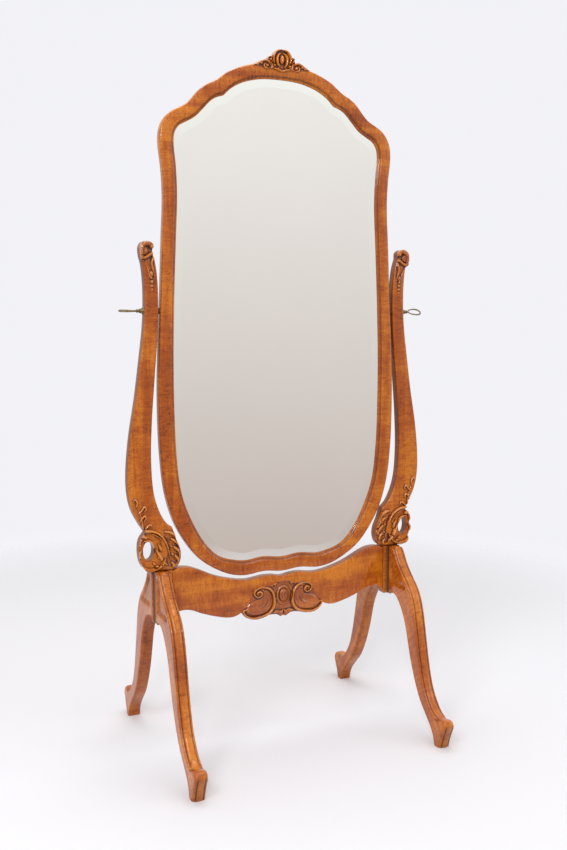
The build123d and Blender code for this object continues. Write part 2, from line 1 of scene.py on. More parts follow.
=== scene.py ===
# %% [markdown]
# # Cheval floor mirror
# A tall dressing mirror of golden figured maple. A glazed frame with a bevelled plate tilts on two
# thumbscrews between scrolled standards, and the standards stand on four cabriole legs joined by a
# shaped cross rail. The CAD model fixes every size and every moving body. This lesson gives each
# piece its rounded, carved and polished shape, and builds its finish from nodes.

# %% Load the frame
import itertools
import json
import math

import bmesh
import bpy
import numpy as np
from mathutils import Matrix, Vector
from mathutils.geometry import delaunay_2d_cdt


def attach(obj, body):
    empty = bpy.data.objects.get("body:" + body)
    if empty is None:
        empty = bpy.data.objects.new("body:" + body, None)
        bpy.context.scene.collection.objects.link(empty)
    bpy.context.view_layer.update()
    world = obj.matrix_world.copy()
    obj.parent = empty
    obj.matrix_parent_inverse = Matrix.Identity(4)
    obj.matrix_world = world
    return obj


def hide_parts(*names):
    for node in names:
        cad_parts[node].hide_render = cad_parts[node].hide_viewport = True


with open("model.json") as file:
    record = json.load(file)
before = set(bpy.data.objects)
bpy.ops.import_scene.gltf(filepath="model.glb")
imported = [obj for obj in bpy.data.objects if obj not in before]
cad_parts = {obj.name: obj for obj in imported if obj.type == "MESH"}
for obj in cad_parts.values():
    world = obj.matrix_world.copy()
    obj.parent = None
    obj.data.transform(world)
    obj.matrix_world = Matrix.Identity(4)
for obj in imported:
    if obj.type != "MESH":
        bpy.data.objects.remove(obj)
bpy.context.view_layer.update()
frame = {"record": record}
MM = 0.001                      # the outlines below are in millimetres, Blender is in metres

# %% [markdown]
# ## Camera
# The viewer stands a little to the left of the mirror, at chest height, and looks slightly down.
# The direction is built from three unit vectors, because a matrix leaves no doubt about the roll.

# %% Camera
CAMERA_PLACE = Vector((-1.0758, -2.3731, 1.1341))
CAMERA_YAW, CAMERA_PITCH, CAMERA_ROLL = math.radians(24.57), math.radians(5.956), -0.0024
cam_data = bpy.data.cameras.new("camera")
cam_data.lens = 40.65
cam_data.sensor_width = 36.0
cam_data.dof.use_dof = False
camera = bpy.data.objects.new("camera", cam_data)
bpy.context.scene.collection.objects.link(camera)
bpy.context.scene.camera = camera
ahead = Vector((math.sin(CAMERA_YAW) * math.cos(CAMERA_PITCH),
                math.cos(CAMERA_YAW) * math.cos(CAMERA_PITCH), -math.sin(CAMERA_PITCH)))
level = Vector((math.cos(CAMERA_YAW), -math.sin(CAMERA_YAW), 0))
upward = level.cross(ahead)
cam_right = level * math.cos(CAMERA_ROLL) + upward * math.sin(CAMERA_ROLL)
cam_up = upward * math.cos(CAMERA_ROLL) - level * math.sin(CAMERA_ROLL)
axes = Matrix((cam_right, cam_up, -ahead)).transposed()
camera.matrix_world = Matrix.Translation(CAMERA_PLACE) @ axes.to_4x4()
print("camera at", [round(v, 3) for v in CAMERA_PLACE])

# %% [markdown]
# ## Studio
# A pale floor runs back into a pale world, so that no horizon shows. Polished wood and silvered
# glass need something to reflect: the world is bright above and a little warmer and darker towards
# the floor in front, and large soft lamps draw the long highlights on the rounded edges.

# %% Small node helper
def put(tree, kind, links=(), **settings):
    """Add a node, set its properties and plain inputs, and link {input: socket} pairs."""
    made = tree.nodes.new(kind)
    for key, value in settings.items():
        if key.startswith("in_"):
            made.inputs[int(key[3:])].default_value = value
        else:
            setattr(made, key, value)
    for key, socket in dict(links).items():
        tree.links.new(socket, made.inputs[key])
    return made


def rgb(r, g, b):
    """A display colour, 0 to 255, as the linear colour that a shader wants."""
    def linear(c):
        c /= 255
        return c / 12.92 if c <= 0.04045 else ((c + 0.055) / 1.055) ** 2.4
    return linear(r), linear(g), linear(b), 1.0


# %% World
AMBIENT = 0.57                  # how much of the world's glow lights matt surfaces
ROOM_BELOW, ROOM_ABOVE, BACKDROP = rgb(197, 183, 177), rgb(255, 254, 252), rgb(242, 242, 247)
scene = bpy.context.scene
scene.view_settings.view_transform = "Standard"
world = bpy.data.worlds.new("studio")
scene.world = world
world.use_nodes = True
sky = world.node_tree
sky.nodes.clear()
direction = put(sky, "ShaderNodeTexCoord")
split = put(sky, "ShaderNodeSeparateXYZ", {0: direction.outputs["Generated"]})
height_ramp = put(sky, "ShaderNodeMapRange", {0: split.outputs["Z"]}, in_1=-0.3, in_2=0.3)
room = put(sky, "ShaderNodeMix", {0: height_ramp.outputs[0]}, data_type="RGBA",
           in_6=ROOM_BELOW, in_7=ROOM_ABOVE)
seen = put(sky, "ShaderNodeLightPath")
backdrop = put(sky, "ShaderNodeMix", {0: seen.outputs["Is Camera Ray"], 6: room.outputs[2]},
               data_type="RGBA", in_7=BACKDROP)
dimmed = put(sky, "ShaderNodeMapRange", {0: seen.outputs["Is Diffuse Ray"]}, in_3=1.0,
             in_4=AMBIENT)
glow = put(sky, "ShaderNodeBackground", {0: backdrop.outputs[2], 1: dimmed.outputs[0]})
put(sky, "ShaderNodeOutputWorld", {0: glow.outputs[0]})

# %% Lamps
def soft_lamp(name, place, aim, width, tall, power):
    """A rectangular softbox that faces a point."""
    data = bpy.data.lights.new(name, "AREA")
    data.shape = "RECTANGLE"
    data.size, data.size_y = width, tall
    data.energy = power
    lamp = bpy.data.objects.new(name, data)
    scene.collection.objects.link(lamp)
    lamp.location = place
    lamp.rotation_euler = (Vector(aim) - Vector(place)).to_track_quat("-Z", "Y").to_euler()


soft_lamp("key", (-2.6, -2.2, 3.4), (0, 0, 0.9), 1.4, 2.0, 50)
soft_lamp("fill", (3.2, -2.4, 1.8), (0, 0, 0.8), 1.0, 2.0, 16)
soft_lamp("sparkle", (-1.7, -3.1, 2.5), (0, 0, 1.0), 0.4, 0.5, 24)
soft_lamp("top", (0.2, 0.3, 3.8), (0, 0, 0), 2.6, 2.0, 48)
print("lamps:", len(bpy.data.lights))

# %% Floor
FADE_CENTRE, FADE_START, FADE_END = 0.5, 1.2, 2.6      # metres: where the paper melts away
FLOOR_REACH, FLOOR_ROUGHNESS = 4, 0.75


def pale_floor():
    """A pale sheet that fades into the pale world all round, so that it has no edge."""
    mesh = bpy.data.meshes.new("floor")
    corners = [(-1, -1), (1, -1), (1, 1), (-1, 1)]
    mesh.from_pydata([(FLOOR_REACH * x, FLOOR_REACH * y, 0) for x, y in corners], [],
                     [(0, 1, 2, 3)])
    floor = bpy.data.objects.new("floor", mesh)
    scene.collection.objects.link(floor)
    paint = bpy.data.materials.new("studio_paper")
    paint.use_nodes = True
    tree = paint.node_tree
    shader = tree.nodes["Principled BSDF"]
    shader.inputs["Roughness"].default_value = FLOOR_ROUGHNESS
    shader.inputs["Specular IOR Level"].default_value = 0.2
    mottled = put(tree, "ShaderNodeTexNoise", in_2=0.8)
    tint = put(tree, "ShaderNodeMix", {0: mottled.outputs[0]}, data_type="RGBA",
               in_6=rgb(238, 238, 243), in_7=rgb(242, 242, 247))
    tree.links.new(tint.outputs[2], shader.inputs["Base Color"])
    place = put(tree, "ShaderNodeTexCoord")
    centred = put(tree, "ShaderNodeVectorMath", {0: place.outputs["Object"]},
                  operation="SUBTRACT")
    centred.inputs[1].default_value = (0, FADE_CENTRE, 0)
    reach_out = put(tree, "ShaderNodeVectorMath", {0: centred.outputs[0]},
                    operation="LENGTH")
    fade = put(tree, "ShaderNodeMapRange", {0: reach_out.outputs["Value"]},
               interpolation_type="SMOOTHSTEP", in_1=FADE_START, in_2=FADE_END, in_3=1.0, in_4=0.0)
    tree.links.new(fade.outputs[0], shader.inputs["Alpha"])
    mesh.materials.append(paint)


pale_floor()

# %% [markdown]
# ## The wood's figure
# Curly, bird's-eye maple under old shellac. Four effects sit on top of each other: fine fibre along
# the grain, curl across it, dark mottling, and small eyes. Every maple piece uses them, so they are
# one node group. It reads a position measured along the grain, which each mesh carries as an
# attribute: that way the fibre follows the board, not the world, and two boards never match.

# %% Wood figure group
def wood_figure_group():
    """Colour, roughness and height of figured wood."""
    tree = bpy.data.node_groups.new("wood figure", "ShaderNodeTree")
    face = tree.interface
    number, colour = "NodeSocketFloat", "NodeSocketColor"
    for name, kind, value in (("Grain", "NodeSocketVector", None), ("Recess", number, 0.0),
                              ("Light", colour, None), ("Middle", colour, None),
                              ("Dark", colour, None), ("Curl", number, 0.5),
                              ("Eyes", number, 0.5), ("Gloss", number, 0.3)):
        socket = face.new_socket(name, in_out="INPUT", socket_type=kind)
        if value is not None:
            socket.default_value = value
    for name, kind in (("Colour", colour), ("Roughness", number), ("Height", number)):
        face.new_socket(name, in_out="OUTPUT", socket_type=kind)
    given = put(tree, "NodeGroupInput")

    def stretched(along, across, detail, rough=0.55, warp=0.0):
        scaled = put(tree, "ShaderNodeVectorMath", {0: given.outputs["Grain"]},
                     operation="MULTIPLY")
        scaled.inputs[1].default_value = (along, across, across)
        return put(tree, "ShaderNodeTexNoise", {0: scaled.outputs[0]}, in_2=1.0, in_3=detail,
                   in_4=rough, in_8=warp).outputs[0]

    def remap(value, low, high, to_low=0.0, to_high=1.0):
        return put(tree, "ShaderNodeMapRange", {0: value}, interpolation_type="SMOOTHSTEP",
                   in_1=low, in_2=high, in_3=to_low, in_4=to_high).outputs[0]

    def sums(operation, first, second):
        made = put(tree, "ShaderNodeMath", operation=operation)
        for index, item in enumerate((first, second)):
            if isinstance(item, (int, float)):
                made.inputs[index].default_value = item
            else:
                tree.links.new(item, made.inputs[index])
        return made.outputs[0]

    fibre = remap(stretched(14, 620, 3), 0.3, 0.7)
    bands = remap(stretched(2.2, 34, 3, warp=0.6), 0.32, 0.68)
    curl = remap(stretched(120, 24, 2, warp=0.8), 0.34, 0.68)
    mottle = remap(stretched(180, 70, 3, 0.6, warp=1.2), 0.48, 0.72)
    tone = remap(stretched(7, 9, 2), 0.3, 0.7)

    # eyes: the cells of a Voronoi pattern, only some of them filled
    cells = put(tree, "ShaderNodeVectorMath", {0: given.outputs["Grain"]}, operation="MULTIPLY")
    cells.inputs[1].default_value = (120, 165, 165)
    voronoi = put(tree, "ShaderNodeTexVoronoi", {0: cells.outputs[0]}, in_2=1.0)
    chosen = put(tree, "ShaderNodeSeparateColor", {0: voronoi.outputs["Color"]}).outputs[0]
    chosen = remap(chosen, 0.45, 0.6)
    pupil = sums("MULTIPLY", remap(voronoi.outputs["Distance"], 0.12, 0.3, 1.0, 0.0), chosen)
    halo = sums("MULTIPLY", remap(voronoi.outputs["Distance"], 0.2, 0.42, 1.0, 0.0), chosen)

    value = sums("ADD", sums("MULTIPLY", fibre, 0.13), sums("MULTIPLY", bands, 0.27))
    value = sums("ADD", value, sums("MULTIPLY", tone, 0.3))
    value = sums("ADD", value, sums("MULTIPLY", sums("MULTIPLY", curl, 0.26),
                                    given.outputs["Curl"]))
    value = sums("ADD", value, sums("MULTIPLY", sums("MULTIPLY", halo, 0.12),
                                    given.outputs["Eyes"]))
    value = sums("SUBTRACT", value, sums("MULTIPLY", sums("MULTIPLY", mottle, 0.44),
                                         given.outputs["Curl"]))
    value = sums("ADD", value, 0.22)
    low = put(tree, "ShaderNodeMix", {0: remap(value, 0.0, 0.5), 6: given.outputs["Dark"],
                                      7: given.outputs["Middle"]}, data_type="RGBA")
    high = put(tree, "ShaderNodeMix", {0: remap(value, 0.42, 0.95), 6: low.outputs[2],
                                       7: given.outputs["Light"]}, data_type="RGBA")
    eyed = put(tree, "ShaderNodeMix", {0: sums("MULTIPLY", pupil, given.outputs["Eyes"]),
                                       6: high.outputs[2], 7: given.outputs["Dark"]},
               data_type="RGBA")
    # The value each mesh carries: below zero it is a painted highlight on ridges, beads and bands,
    # mixed towards pale amber; above zero it is painted shade in hollows, creases and on walls,
    # with some real stain, mixed towards near-black.
    highlight_amount = remap(given.outputs["Recess"], 0.0, -1.0)
    highlighted = put(tree, "ShaderNodeMix", {0: highlight_amount, 6: eyed.outputs[2]}, data_type="RGBA",
               in_7=rgb(220, 142, 62))
    hollow = remap(given.outputs["Recess"], 0.0, 1.0, 0.0, 0.92)
    shaded_and_stained = put(tree, "ShaderNodeMix", {0: hollow, 6: highlighted.outputs[2]}, data_type="RGBA",
               in_7=rgb(44, 18, 6))
    roughness = sums("ADD", given.outputs["Gloss"], sums("MULTIPLY", fibre, 0.06))
    roughness = sums("ADD", roughness, sums("MULTIPLY", given.outputs["Recess"], 0.3))
    relief = sums("SUBTRACT", sums("MULTIPLY", fibre, 0.25), sums("MULTIPLY", pupil, 0.5))
    relief = sums("ADD", relief, sums("MULTIPLY", curl, 0.5))
    put(tree, "NodeGroupOutput", {"Colour": shaded_and_stained.outputs[2], "Roughness": roughness,
                                  "Height": relief})
    return tree


WOOD_FIGURE = wood_figure_group()
print("wood figure nodes:", len(WOOD_FIGURE.nodes))

# %% [markdown]
# ## Maple, flat and carved
# Both are the same timber. The polished boards show the most figure and the highest gloss. The
# carvings are stained a little darker and take a heavier coat, so their ridges shine; their hollows
# are painted nearly black as painted shade and their ridges paler as painted highlight.

# %% Wood materials
WOOD_SPECULAR, COAT_ROUGHNESS, COAT_TINT = 0.2, 0.07, (1.0, 0.96, 0.9, 1.0)
FIGURE_BUMP = 0.6
def wood_material(name, light, middle, dark, curl, eyes, gloss, coat, bump):
    """A polished timber: the figure group in front of one Principled shader."""
    paint = bpy.data.materials.new(name)
    paint.use_nodes = True
    tree = paint.node_tree
    shader = tree.nodes["Principled BSDF"]
    grain = put(tree, "ShaderNodeAttribute", attribute_name="grain")
    # Each mesh carries painted shade, painted highlight and some real stain in one attribute, read
    # here.
    shade_highlight_stain = put(tree, "ShaderNodeAttribute", attribute_name="shade_highlight_stain")
    figure = put(tree, "ShaderNodeGroup", node_tree=WOOD_FIGURE)
    tree.links.new(grain.outputs["Vector"], figure.inputs["Grain"])
    tree.links.new(shade_highlight_stain.outputs["Fac"], figure.inputs["Recess"])
    for key, value in (("Light", light), ("Middle", middle), ("Dark", dark), ("Curl", curl),
                       ("Eyes", eyes), ("Gloss", gloss)):
        figure.inputs[key].default_value = value
    surface = put(tree, "ShaderNodeBump", {"Height": figure.outputs["Height"]})
    surface.inputs["Distance"].default_value = bump
    surface.inputs["Strength"].default_value = FIGURE_BUMP
    tree.links.new(figure.outputs["Colour"], shader.inputs["Base Color"])
    tree.links.new(figure.outputs["Roughness"], shader.inputs["Roughness"])
    tree.links.new(surface.outputs["Normal"], shader.inputs["Normal"])
    shader.inputs["Specular IOR Level"].default_value = WOOD_SPECULAR
    shader.inputs["Coat Weight"].default_value = coat
    shader.inputs["Coat Roughness"].default_value = COAT_ROUGHNESS
    shader.inputs["Coat Tint"].default_value = COAT_TINT
    return paint


FIGURED_MAPLE = wood_material("polished_maple", rgb(214, 126, 28), rgb(170, 80, 9),
                              rgb(86, 32, 3), 0.62, 0.55, 0.3, 0.6, 0.00012)
CARVED_MAPLE = wood_material("stained_carving", rgb(206, 116, 30), rgb(156, 72, 12),
                             rgb(76, 26, 4), 0.5, 0.2, 0.28, 1.0, 0.0001)

# %% [markdown]
# ## Glass and metal
# The plate is silvered on its back, so nearly all that it shows is the room. Old silver is never
# quite even, and a slow noise changes its tint and sharpness a little. The small metal parts are
# brass and steel with a brown film that lies thicker in patches.

# %% Glass and metal materials
def mottled_material(name, first, second, scale, metallic, low_rough, high_rough, detail=3.0,
                     bump=0.0):
    """Two tints and two roughnesses, mixed by one noise."""
    paint = bpy.data.materials.new(name)
    paint.use_nodes = True
    tree = paint.node_tree
    shader = tree.nodes["Principled BSDF"]
    shader.inputs["Metallic"].default_value = metallic
    place = put(tree, "ShaderNodeTexCoord")
    noise = put(tree, "ShaderNodeTexNoise", {0: place.outputs["Object"]}, in_2=scale, in_3=detail)
    tint = put(tree, "ShaderNodeMix", {0: noise.outputs[0]}, data_type="RGBA", in_6=first,
               in_7=second)
    rough = put(tree, "ShaderNodeMapRange", {0: noise.outputs[0]}, in_1=0.3, in_2=0.7,
                in_3=low_rough, in_4=high_rough)
    tree.links.new(tint.outputs[2], shader.inputs["Base Color"])
    tree.links.new(rough.outputs[0], shader.inputs["Roughness"])
    if bump:
        surface = put(tree, "ShaderNodeBump", {"Height": noise.outputs[0]})
        surface.inputs["Distance"].default_value = bump
        tree.links.new(surface.outputs["Normal"], shader.inputs["Normal"])
    return paint


SILVERED = mottled_material("silvered_glass", rgb(240, 239, 237), rgb(246, 245, 242), 3.0, 1.0,
                            0.015, 0.03, 2.0)
BEVELLED = mottled_material("bevelled_glass", rgb(240, 241, 238), rgb(245, 246, 243), 6.0, 1.0,
                            0.02, 0.04, 2.0)
BRASS = mottled_material("aged_brass", rgb(150, 134, 100), rgb(84, 72, 52), 260.0, 1.0, 0.24,
                         0.5, 4.0, 0.0001)
STEEL = mottled_material("steel", rgb(120, 118, 114), rgb(70, 64, 58), 300.0, 1.0, 0.35, 0.6)
LEATHER = mottled_material("leather", rgb(108, 66, 38), rgb(70, 40, 24), 900.0, 0.0, 0.6, 0.8,
                           5.0, 0.0002)
print("materials:", len(bpy.data.materials))

# %% [markdown]
# ## Lines
# All shapes start as smooth lines through a few measured points of the right half, x and height.
# A centripetal Catmull-Rom curve passes through its points without loops, like a bent batten.

# %% Curve helpers
def smooth(points, step=3.0):
    """A curve through points, as a dense list of points about step apart."""
    given = np.array(points, float)
    ends = np.vstack([2 * given[0] - given[1], given, 2 * given[-1] - given[-2]])
    found = []
    for a, b, c, d in zip(ends, ends[1:], ends[2:], ends[3:]):
        t1 = math.sqrt(np.linalg.norm(b - a))
        t2 = t1 + math.sqrt(np.linalg.norm(c - b))
        t3 = t2 + math.sqrt(np.linalg.norm(d - c))
        count = max(2, int(np.linalg.norm(c - b) / step) + 1)
        t = np.linspace(t1, t2, count, endpoint=False)[:, None]
        ab = (t1 - t) / t1 * a + t / t1 * b
        bc = (t2 - t) / (t2 - t1) * b + (t - t1) / (t2 - t1) * c
        cd = (t3 - t) / (t3 - t2) * c + (t - t2) / (t3 - t2) * d
        left = (t2 - t) / t2 * ab + t / t2 * bc
        right = (t3 - t) / (t3 - t1) * bc + (t - t1) / (t3 - t1) * cd
        found.append((t2 - t) / (t2 - t1) * left + (t - t1) / (t2 - t1) * right)
    return np.vstack(found + [given[-1:]])


def even(line, count):
    """The same line with count points evenly spaced along it."""
    run = np.concatenate([[0], np.cumsum(np.linalg.norm(np.diff(line, axis=0), axis=1))])
    at = np.linspace(0, run[-1], count)
    return np.stack([np.interp(at, run, line[:, k]) for k in range(line.shape[1])], axis=1)


def joined(*lines):
    """One line from several, each point once."""
    points = [np.array(lines[0], float)]
    for line in lines[1:]:
        line = np.array(line, float)
        points.append(line[1:] if np.allclose(points[-1][-1], line[0]) else line)
    whole = np.vstack(points)
    return whole[:-1] if np.allclose(whole[0], whole[-1]) else whole


def mirrored(points):
    """The left half of a line, so that it carries on round the outline."""
    return [(-x, z) for x, z in reversed(list(map(tuple, points)))]


def area(loop):
    """Area inside a loop, positive if it runs anticlockwise."""
    x, z = loop[:, 0], loop[:, 1]
    return 0.5 * float(np.sum(x * np.roll(z, -1) - np.roll(x, -1) * z))


def counter(loop):
    """The loop, running anticlockwise."""
    loop = np.array(loop, float)
    return loop if area(loop) > 0 else loop[::-1].copy()


def inset(loop, distance, limit=1.8):
    """Offset an anticlockwise loop inwards, with limited mitres."""
    before, after = loop - np.roll(loop, 1, axis=0), np.roll(loop, -1, axis=0) - loop
    normals = []
    for edge in (before, after):
        edge = edge / np.maximum(np.linalg.norm(edge, axis=1, keepdims=True), 1e-9)
        normals.append(np.stack([-edge[:, 1], edge[:, 0]], axis=1))
    both = normals[0] + normals[1]
    scale = 1 / np.maximum(np.sum(both * normals[0], axis=1), 1e-3)
    length = np.linalg.norm(both, axis=1) * scale
    scale = np.where(length > limit, scale * limit / length, scale)
    return loop + both * scale[:, None] * distance


def mark(line, point):
    """Index of the point of a line that is nearest to a given point."""
    return int(np.argmin(np.sum((line - np.array(point, float)) ** 2, axis=1)))


def matched(first, second, anchors, step):
    """Pairs of points along two lines, evenly spaced between pairs of anchors."""
    one, two, cuts = [], [], [0]
    places = [(mark(first, a), mark(second, b)) for a, b in anchors]
    for (a0, b0), (a1, b1) in zip(places, places[1:]):
        run = np.sum(np.linalg.norm(np.diff(first[a0:a1 + 1], axis=0), axis=1))
        count = max(3, int(run / step) + 1)
        one.append(even(first[a0:a1 + 1], count)[:-1])
        two.append(even(second[b0:b1 + 1], count)[:-1])
        cuts.append(cuts[-1] + count - 1)
    one.append(first[places[-1][0]][None])
    two.append(second[places[-1][1]][None])
    return np.vstack(one), np.vstack(two), cuts


BATCH = 2000                    # points measured at once, to spare memory


def line_distance(points, line, closed=False):
    """Distance of each point to a line, and how far along it the nearest place is, 0 to 1."""
    line = np.vstack([line, line[:1]]) if closed else line
    start, along = line[:-1], np.diff(line, axis=0)
    size = np.maximum(np.sum(along ** 2, axis=1), 1e-9)
    run = np.concatenate([[0], np.cumsum(np.sqrt(size))])
    best, where = np.empty(len(points)), np.empty(len(points))
    for first in range(0, len(points), BATCH):
        part = points[first:first + BATCH, None, :]
        t = np.clip(np.sum((part - start) * along, axis=2) / size, 0, 1)
        gap = np.sum((start + t[..., None] * along - part) ** 2, axis=2)
        index = np.argmin(gap, axis=1)
        rows = np.arange(len(index))
        best[first:first + BATCH] = np.sqrt(gap[rows, index])
        run_there = run[index] + t[rows, index] * np.sqrt(size[index])
        where[first:first + BATCH] = run_there / run[-1]
    return best, where


def inside(points, loops):
    """True for points inside the loops, where a hole is a loop too."""
    odd = np.zeros(len(points), bool)
    for loop in loops:
        for a, b in zip(loop, np.roll(loop, -1, axis=0)):
            if a[1] == b[1]:
                continue
            crosses = (points[:, 1] < a[1]) != (points[:, 1] < b[1])
            edge = a[0] + (points[:, 1] - a[1]) * (b[0] - a[0]) / (b[1] - a[1])
            odd ^= crosses & (points[:, 0] < edge)
    return odd


# %% [markdown]
# ## From numbers to pieces
# Every piece passes through one function. It makes the mesh, stores where each point lies along the
# grain and how much painted shade, painted highlight and stain it carries, and tells the frame
# which body the piece moves with.

# %% Make a piece
BOARD_SHIFT = np.array([0.37, 0.53, 0.29])      # moves the figure on from board to board
board_number = itertools.count(1)


def make_piece(name, points, faces, paint, body, slot=None, grain=(2, 0, 1), shade_highlight_stain=None,
               sharp=38.0, extra=None):
    """Link a mesh given in millimetres in place of the CAD node of its name.

    grain: the axes along, across and into the board.
    extra: a second finish, and for each face whether it takes it."""
    points = np.array(points, float)
    mesh = bpy.data.meshes.new(name)
    mesh.from_pydata((points * MM).tolist(), [], [list(map(int, f)) for f in faces])
    work = bmesh.new()
    work.from_mesh(mesh)
    bmesh.ops.recalc_face_normals(work, faces=work.faces)
    work.to_mesh(mesh)
    work.free()
    mesh.polygons.foreach_set("use_smooth", [True] * len(mesh.polygons))
    mesh.set_sharp_from_angle(angle=math.radians(sharp))
    shift = BOARD_SHIFT * next(board_number)
    frame_of = np.eye(3)[list(grain)] if isinstance(grain[0], int) else np.array(grain, float)
    along = mesh.attributes.new("grain", "FLOAT_VECTOR", "POINT")
    along.data.foreach_set("vector", ((points * MM) @ frame_of.T + shift).ravel())
    # Painted shade above zero, painted highlight below it, and some real stain.
    hollow = mesh.attributes.new("shade_highlight_stain", "FLOAT", "POINT")
    hollow.data.foreach_set("value", np.zeros(len(points)) if shade_highlight_stain is None else shade_highlight_stain)
    piece = bpy.data.objects.new(name, mesh)
    scene.collection.objects.link(piece)
    mesh.materials.append(paint)
    if extra:
        mesh.materials.append(extra[0])
        mesh.polygons.foreach_set("material_index", [int(v) for v in extra[1]])
    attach(piece, body)
    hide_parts(name)
    print(f"{name}: {len(mesh.vertices)} points, {len(mesh.polygons)} faces")


def flip(points):
    """The same points on the left side of the mirror."""
    return points * np.array([-1.0, 1.0, 1.0])


def make_pair(kind, points, faces, paint, shade_highlight_stain):
    """The right piece of the stand, and its mirror image on the left."""
    for side, made in (("right", points), ("left", flip(points))):
        make_piece(f"{side}_{kind}", made, faces, paint, "stand", shade_highlight_stain=shade_highlight_stain)


def tube_faces(stations, ring):
    """Faces of a closed tube whose points run ring by ring."""
    faces = []
    for s in range(stations - 1):
        for k in range(ring):
            a, b = s * ring + k, s * ring + (k + 1) % ring
            faces.append((a, b, b + ring, a + ring))
    faces.append(tuple(range(ring))[::-1])
    faces.append(tuple((stations - 1) * ring + k for k in range(ring)))
    return faces


# %% [markdown]
# ## Boards and carvings
# A board or a carving is a flat outline, sometimes with a hole, whose front rises and falls. The
# rim is built from strips that turn over the edge. The field inside is filled by a constrained
# Delaunay triangulation, which takes any outline and any spread of points, so a carving can have a
# point every millimetre and a board only a few.

# %% Slab builder
ROW_PITCH, RIM_GAP = 0.87, 0.55         # of the spacing: between rows, and clear of the rim


def field(loops, spacing):
    """Points and triangles that fill loops, with extra points inside if spacing is given."""
    rim = np.vstack(loops)
    low, high = rim.min(axis=0), rim.max(axis=0)
    extra = np.empty((0, 2))
    if spacing:
        rows = np.arange(low[1], high[1], spacing * ROW_PITCH)
        grid = []
        for i, z in enumerate(rows):
            across = np.arange(low[0] + (i % 2) * spacing / 2, high[0], spacing)
            grid.append(np.column_stack([across, np.full(len(across), z)]))
        extra = np.vstack(grid)
        extra = extra[inside(extra, loops)]
        gap = np.min([line_distance(extra, loop, True)[0] for loop in loops], axis=0)
        extra = extra[gap > spacing * RIM_GAP]
    everything = np.vstack([rim, extra])
    edges, first = [], 0
    for loop in loops:
        count = len(loop)
        edges += [(first + i, first + (i + 1) % count) for i in range(count)]
        first += count
    out = delaunay_2d_cdt([Vector(p) for p in everything], edges, [], 0, 1e-4)
    flat = np.array([tuple(v) for v in out[0]])
    triangles = np.array([f for f in out[2] if len(f) == 3])
    middle = flat[triangles].mean(axis=1)
    triangles = triangles[inside(middle, loops)]
    a, b, c = (flat[triangles[:, k]] for k in range(3))
    turn = (b[:, 0] - a[:, 0]) * (c[:, 1] - a[:, 1]) - (b[:, 1] - a[:, 1]) * (c[:, 0] - a[:, 0])
    triangles[turn < 0] = triangles[turn < 0][:, ::-1]
    new_index = {}
    for place, sources in enumerate(out[3]):
        for source in sources:
            new_index[source] = place
    return flat, triangles, [new_index[i] for i in range(len(rim))]


def slab(loops, front, back, rounding, spacing, steps=4, round_back=True):
    """Points and faces of a board. front and back give y for arrays of (x, z)."""
    inner = [inset(loop, rounding) for loop in loops]
    flat, triangles, rim = field(inner, spacing)
    y_front = front(flat)
    points = [np.column_stack([flat[:, 0], y_front, flat[:, 1]])]
    faces = [tuple(t) for t in triangles]
    count = len(flat)
    if round_back:
        points.append(np.column_stack([flat[:, 0], back(flat), flat[:, 1]]))
        faces += [tuple(t[::-1] + count) for t in triangles]
    total = sum(len(p) for p in points)
    first = 0
    for loop, inner_loop in zip(loops, inner):
        size = len(loop)
        row = [rim[first + i] for i in range(size)]
        top = points[0][row][:, 1]
        rows = [row]
        for k in range(1, steps + 1):
            turn = math.pi / 2 * (1 - k / steps)
            ring = inset(loop, rounding * (1 - math.cos(turn)))
            drop = top + rounding * (1 - math.sin(turn))
            points.append(np.column_stack([ring[:, 0], drop, ring[:, 1]]))
            rows.append(list(range(total, total + size)))
            total += size
        if round_back:
            bottom = back(inner_loop)
            for k in range(steps, 0, -1):
                turn = math.pi / 2 * (1 - k / steps)
                ring = inset(loop, rounding * (1 - math.cos(turn)))
                points.append(np.column_stack([ring[:, 0], bottom - rounding * (1 - math.sin(turn)),
                                               ring[:, 1]]))
                rows.append(list(range(total, total + size)))
                total += size
            rows.append([i + count for i in row])
        else:
            points.append(np.column_stack([loop[:, 0], back(loop), loop[:, 1]]))
            rows.append(list(range(total, total + size)))
            total += size
        for one, two in zip(rows, rows[1:]):
            for i in range(size):
                j = (i + 1) % size
                faces.append((one[i], one[j], two[j], two[i]))
        first += size
    if not round_back:
        flat, triangles, rim = field(loops, None)
        points.append(np.column_stack([flat[:, 0], back(flat), flat[:, 1]]))
        faces += [tuple(t[::-1] + total) for t in triangles]
    return np.vstack(points), faces


WELD = 1e-3                     # points closer than this become one


def level_at(y):
    """A flat face."""
    return lambda flat: np.full(len(flat), float(y))


def welded(points, faces):
    """Merge points that lie on each other."""
    keys = np.round(points / WELD).astype(np.int64)
    _, first, back = np.unique(keys, axis=0, return_index=True, return_inverse=True)
    back = back.ravel()
    clean = []
    for face in faces:
        ids = [int(back[i]) for i in face]
        ids = [v for k, v in enumerate(ids) if v != ids[k - 1]]
        if len(ids) > 2 and len(set(ids)) == len(ids):
            clean.append(tuple(ids))
    return points[first], clean


# %% [markdown]
# ## Carving
# A carver works in strokes: a gouge leaves a hollow, and the wood between two hollows is a ridge.
# The carvings here are written the same way. A stroke is a line with a width and a height that may
# taper, and the field of the carving rises to the highest stroke above each point and sinks along
# each groove. How far a point lies below its surroundings then sets the painted shade that darkens
# the hollows, and how far it stands above them sets the painted highlight that makes the ridges
# paler; a little real stain lies over all of it.

# %% Strokes
def taper(kind, t):
    """Width of a stroke along its length: thin at "both" ends, at the "end", or "even"."""
    if kind == "both":
        return 0.3 + 0.7 * np.sin(np.pi * np.clip(t, 0, 1)) ** 0.7
    if kind == "end":
        return 1 - 0.75 * t
    return np.ones_like(t)


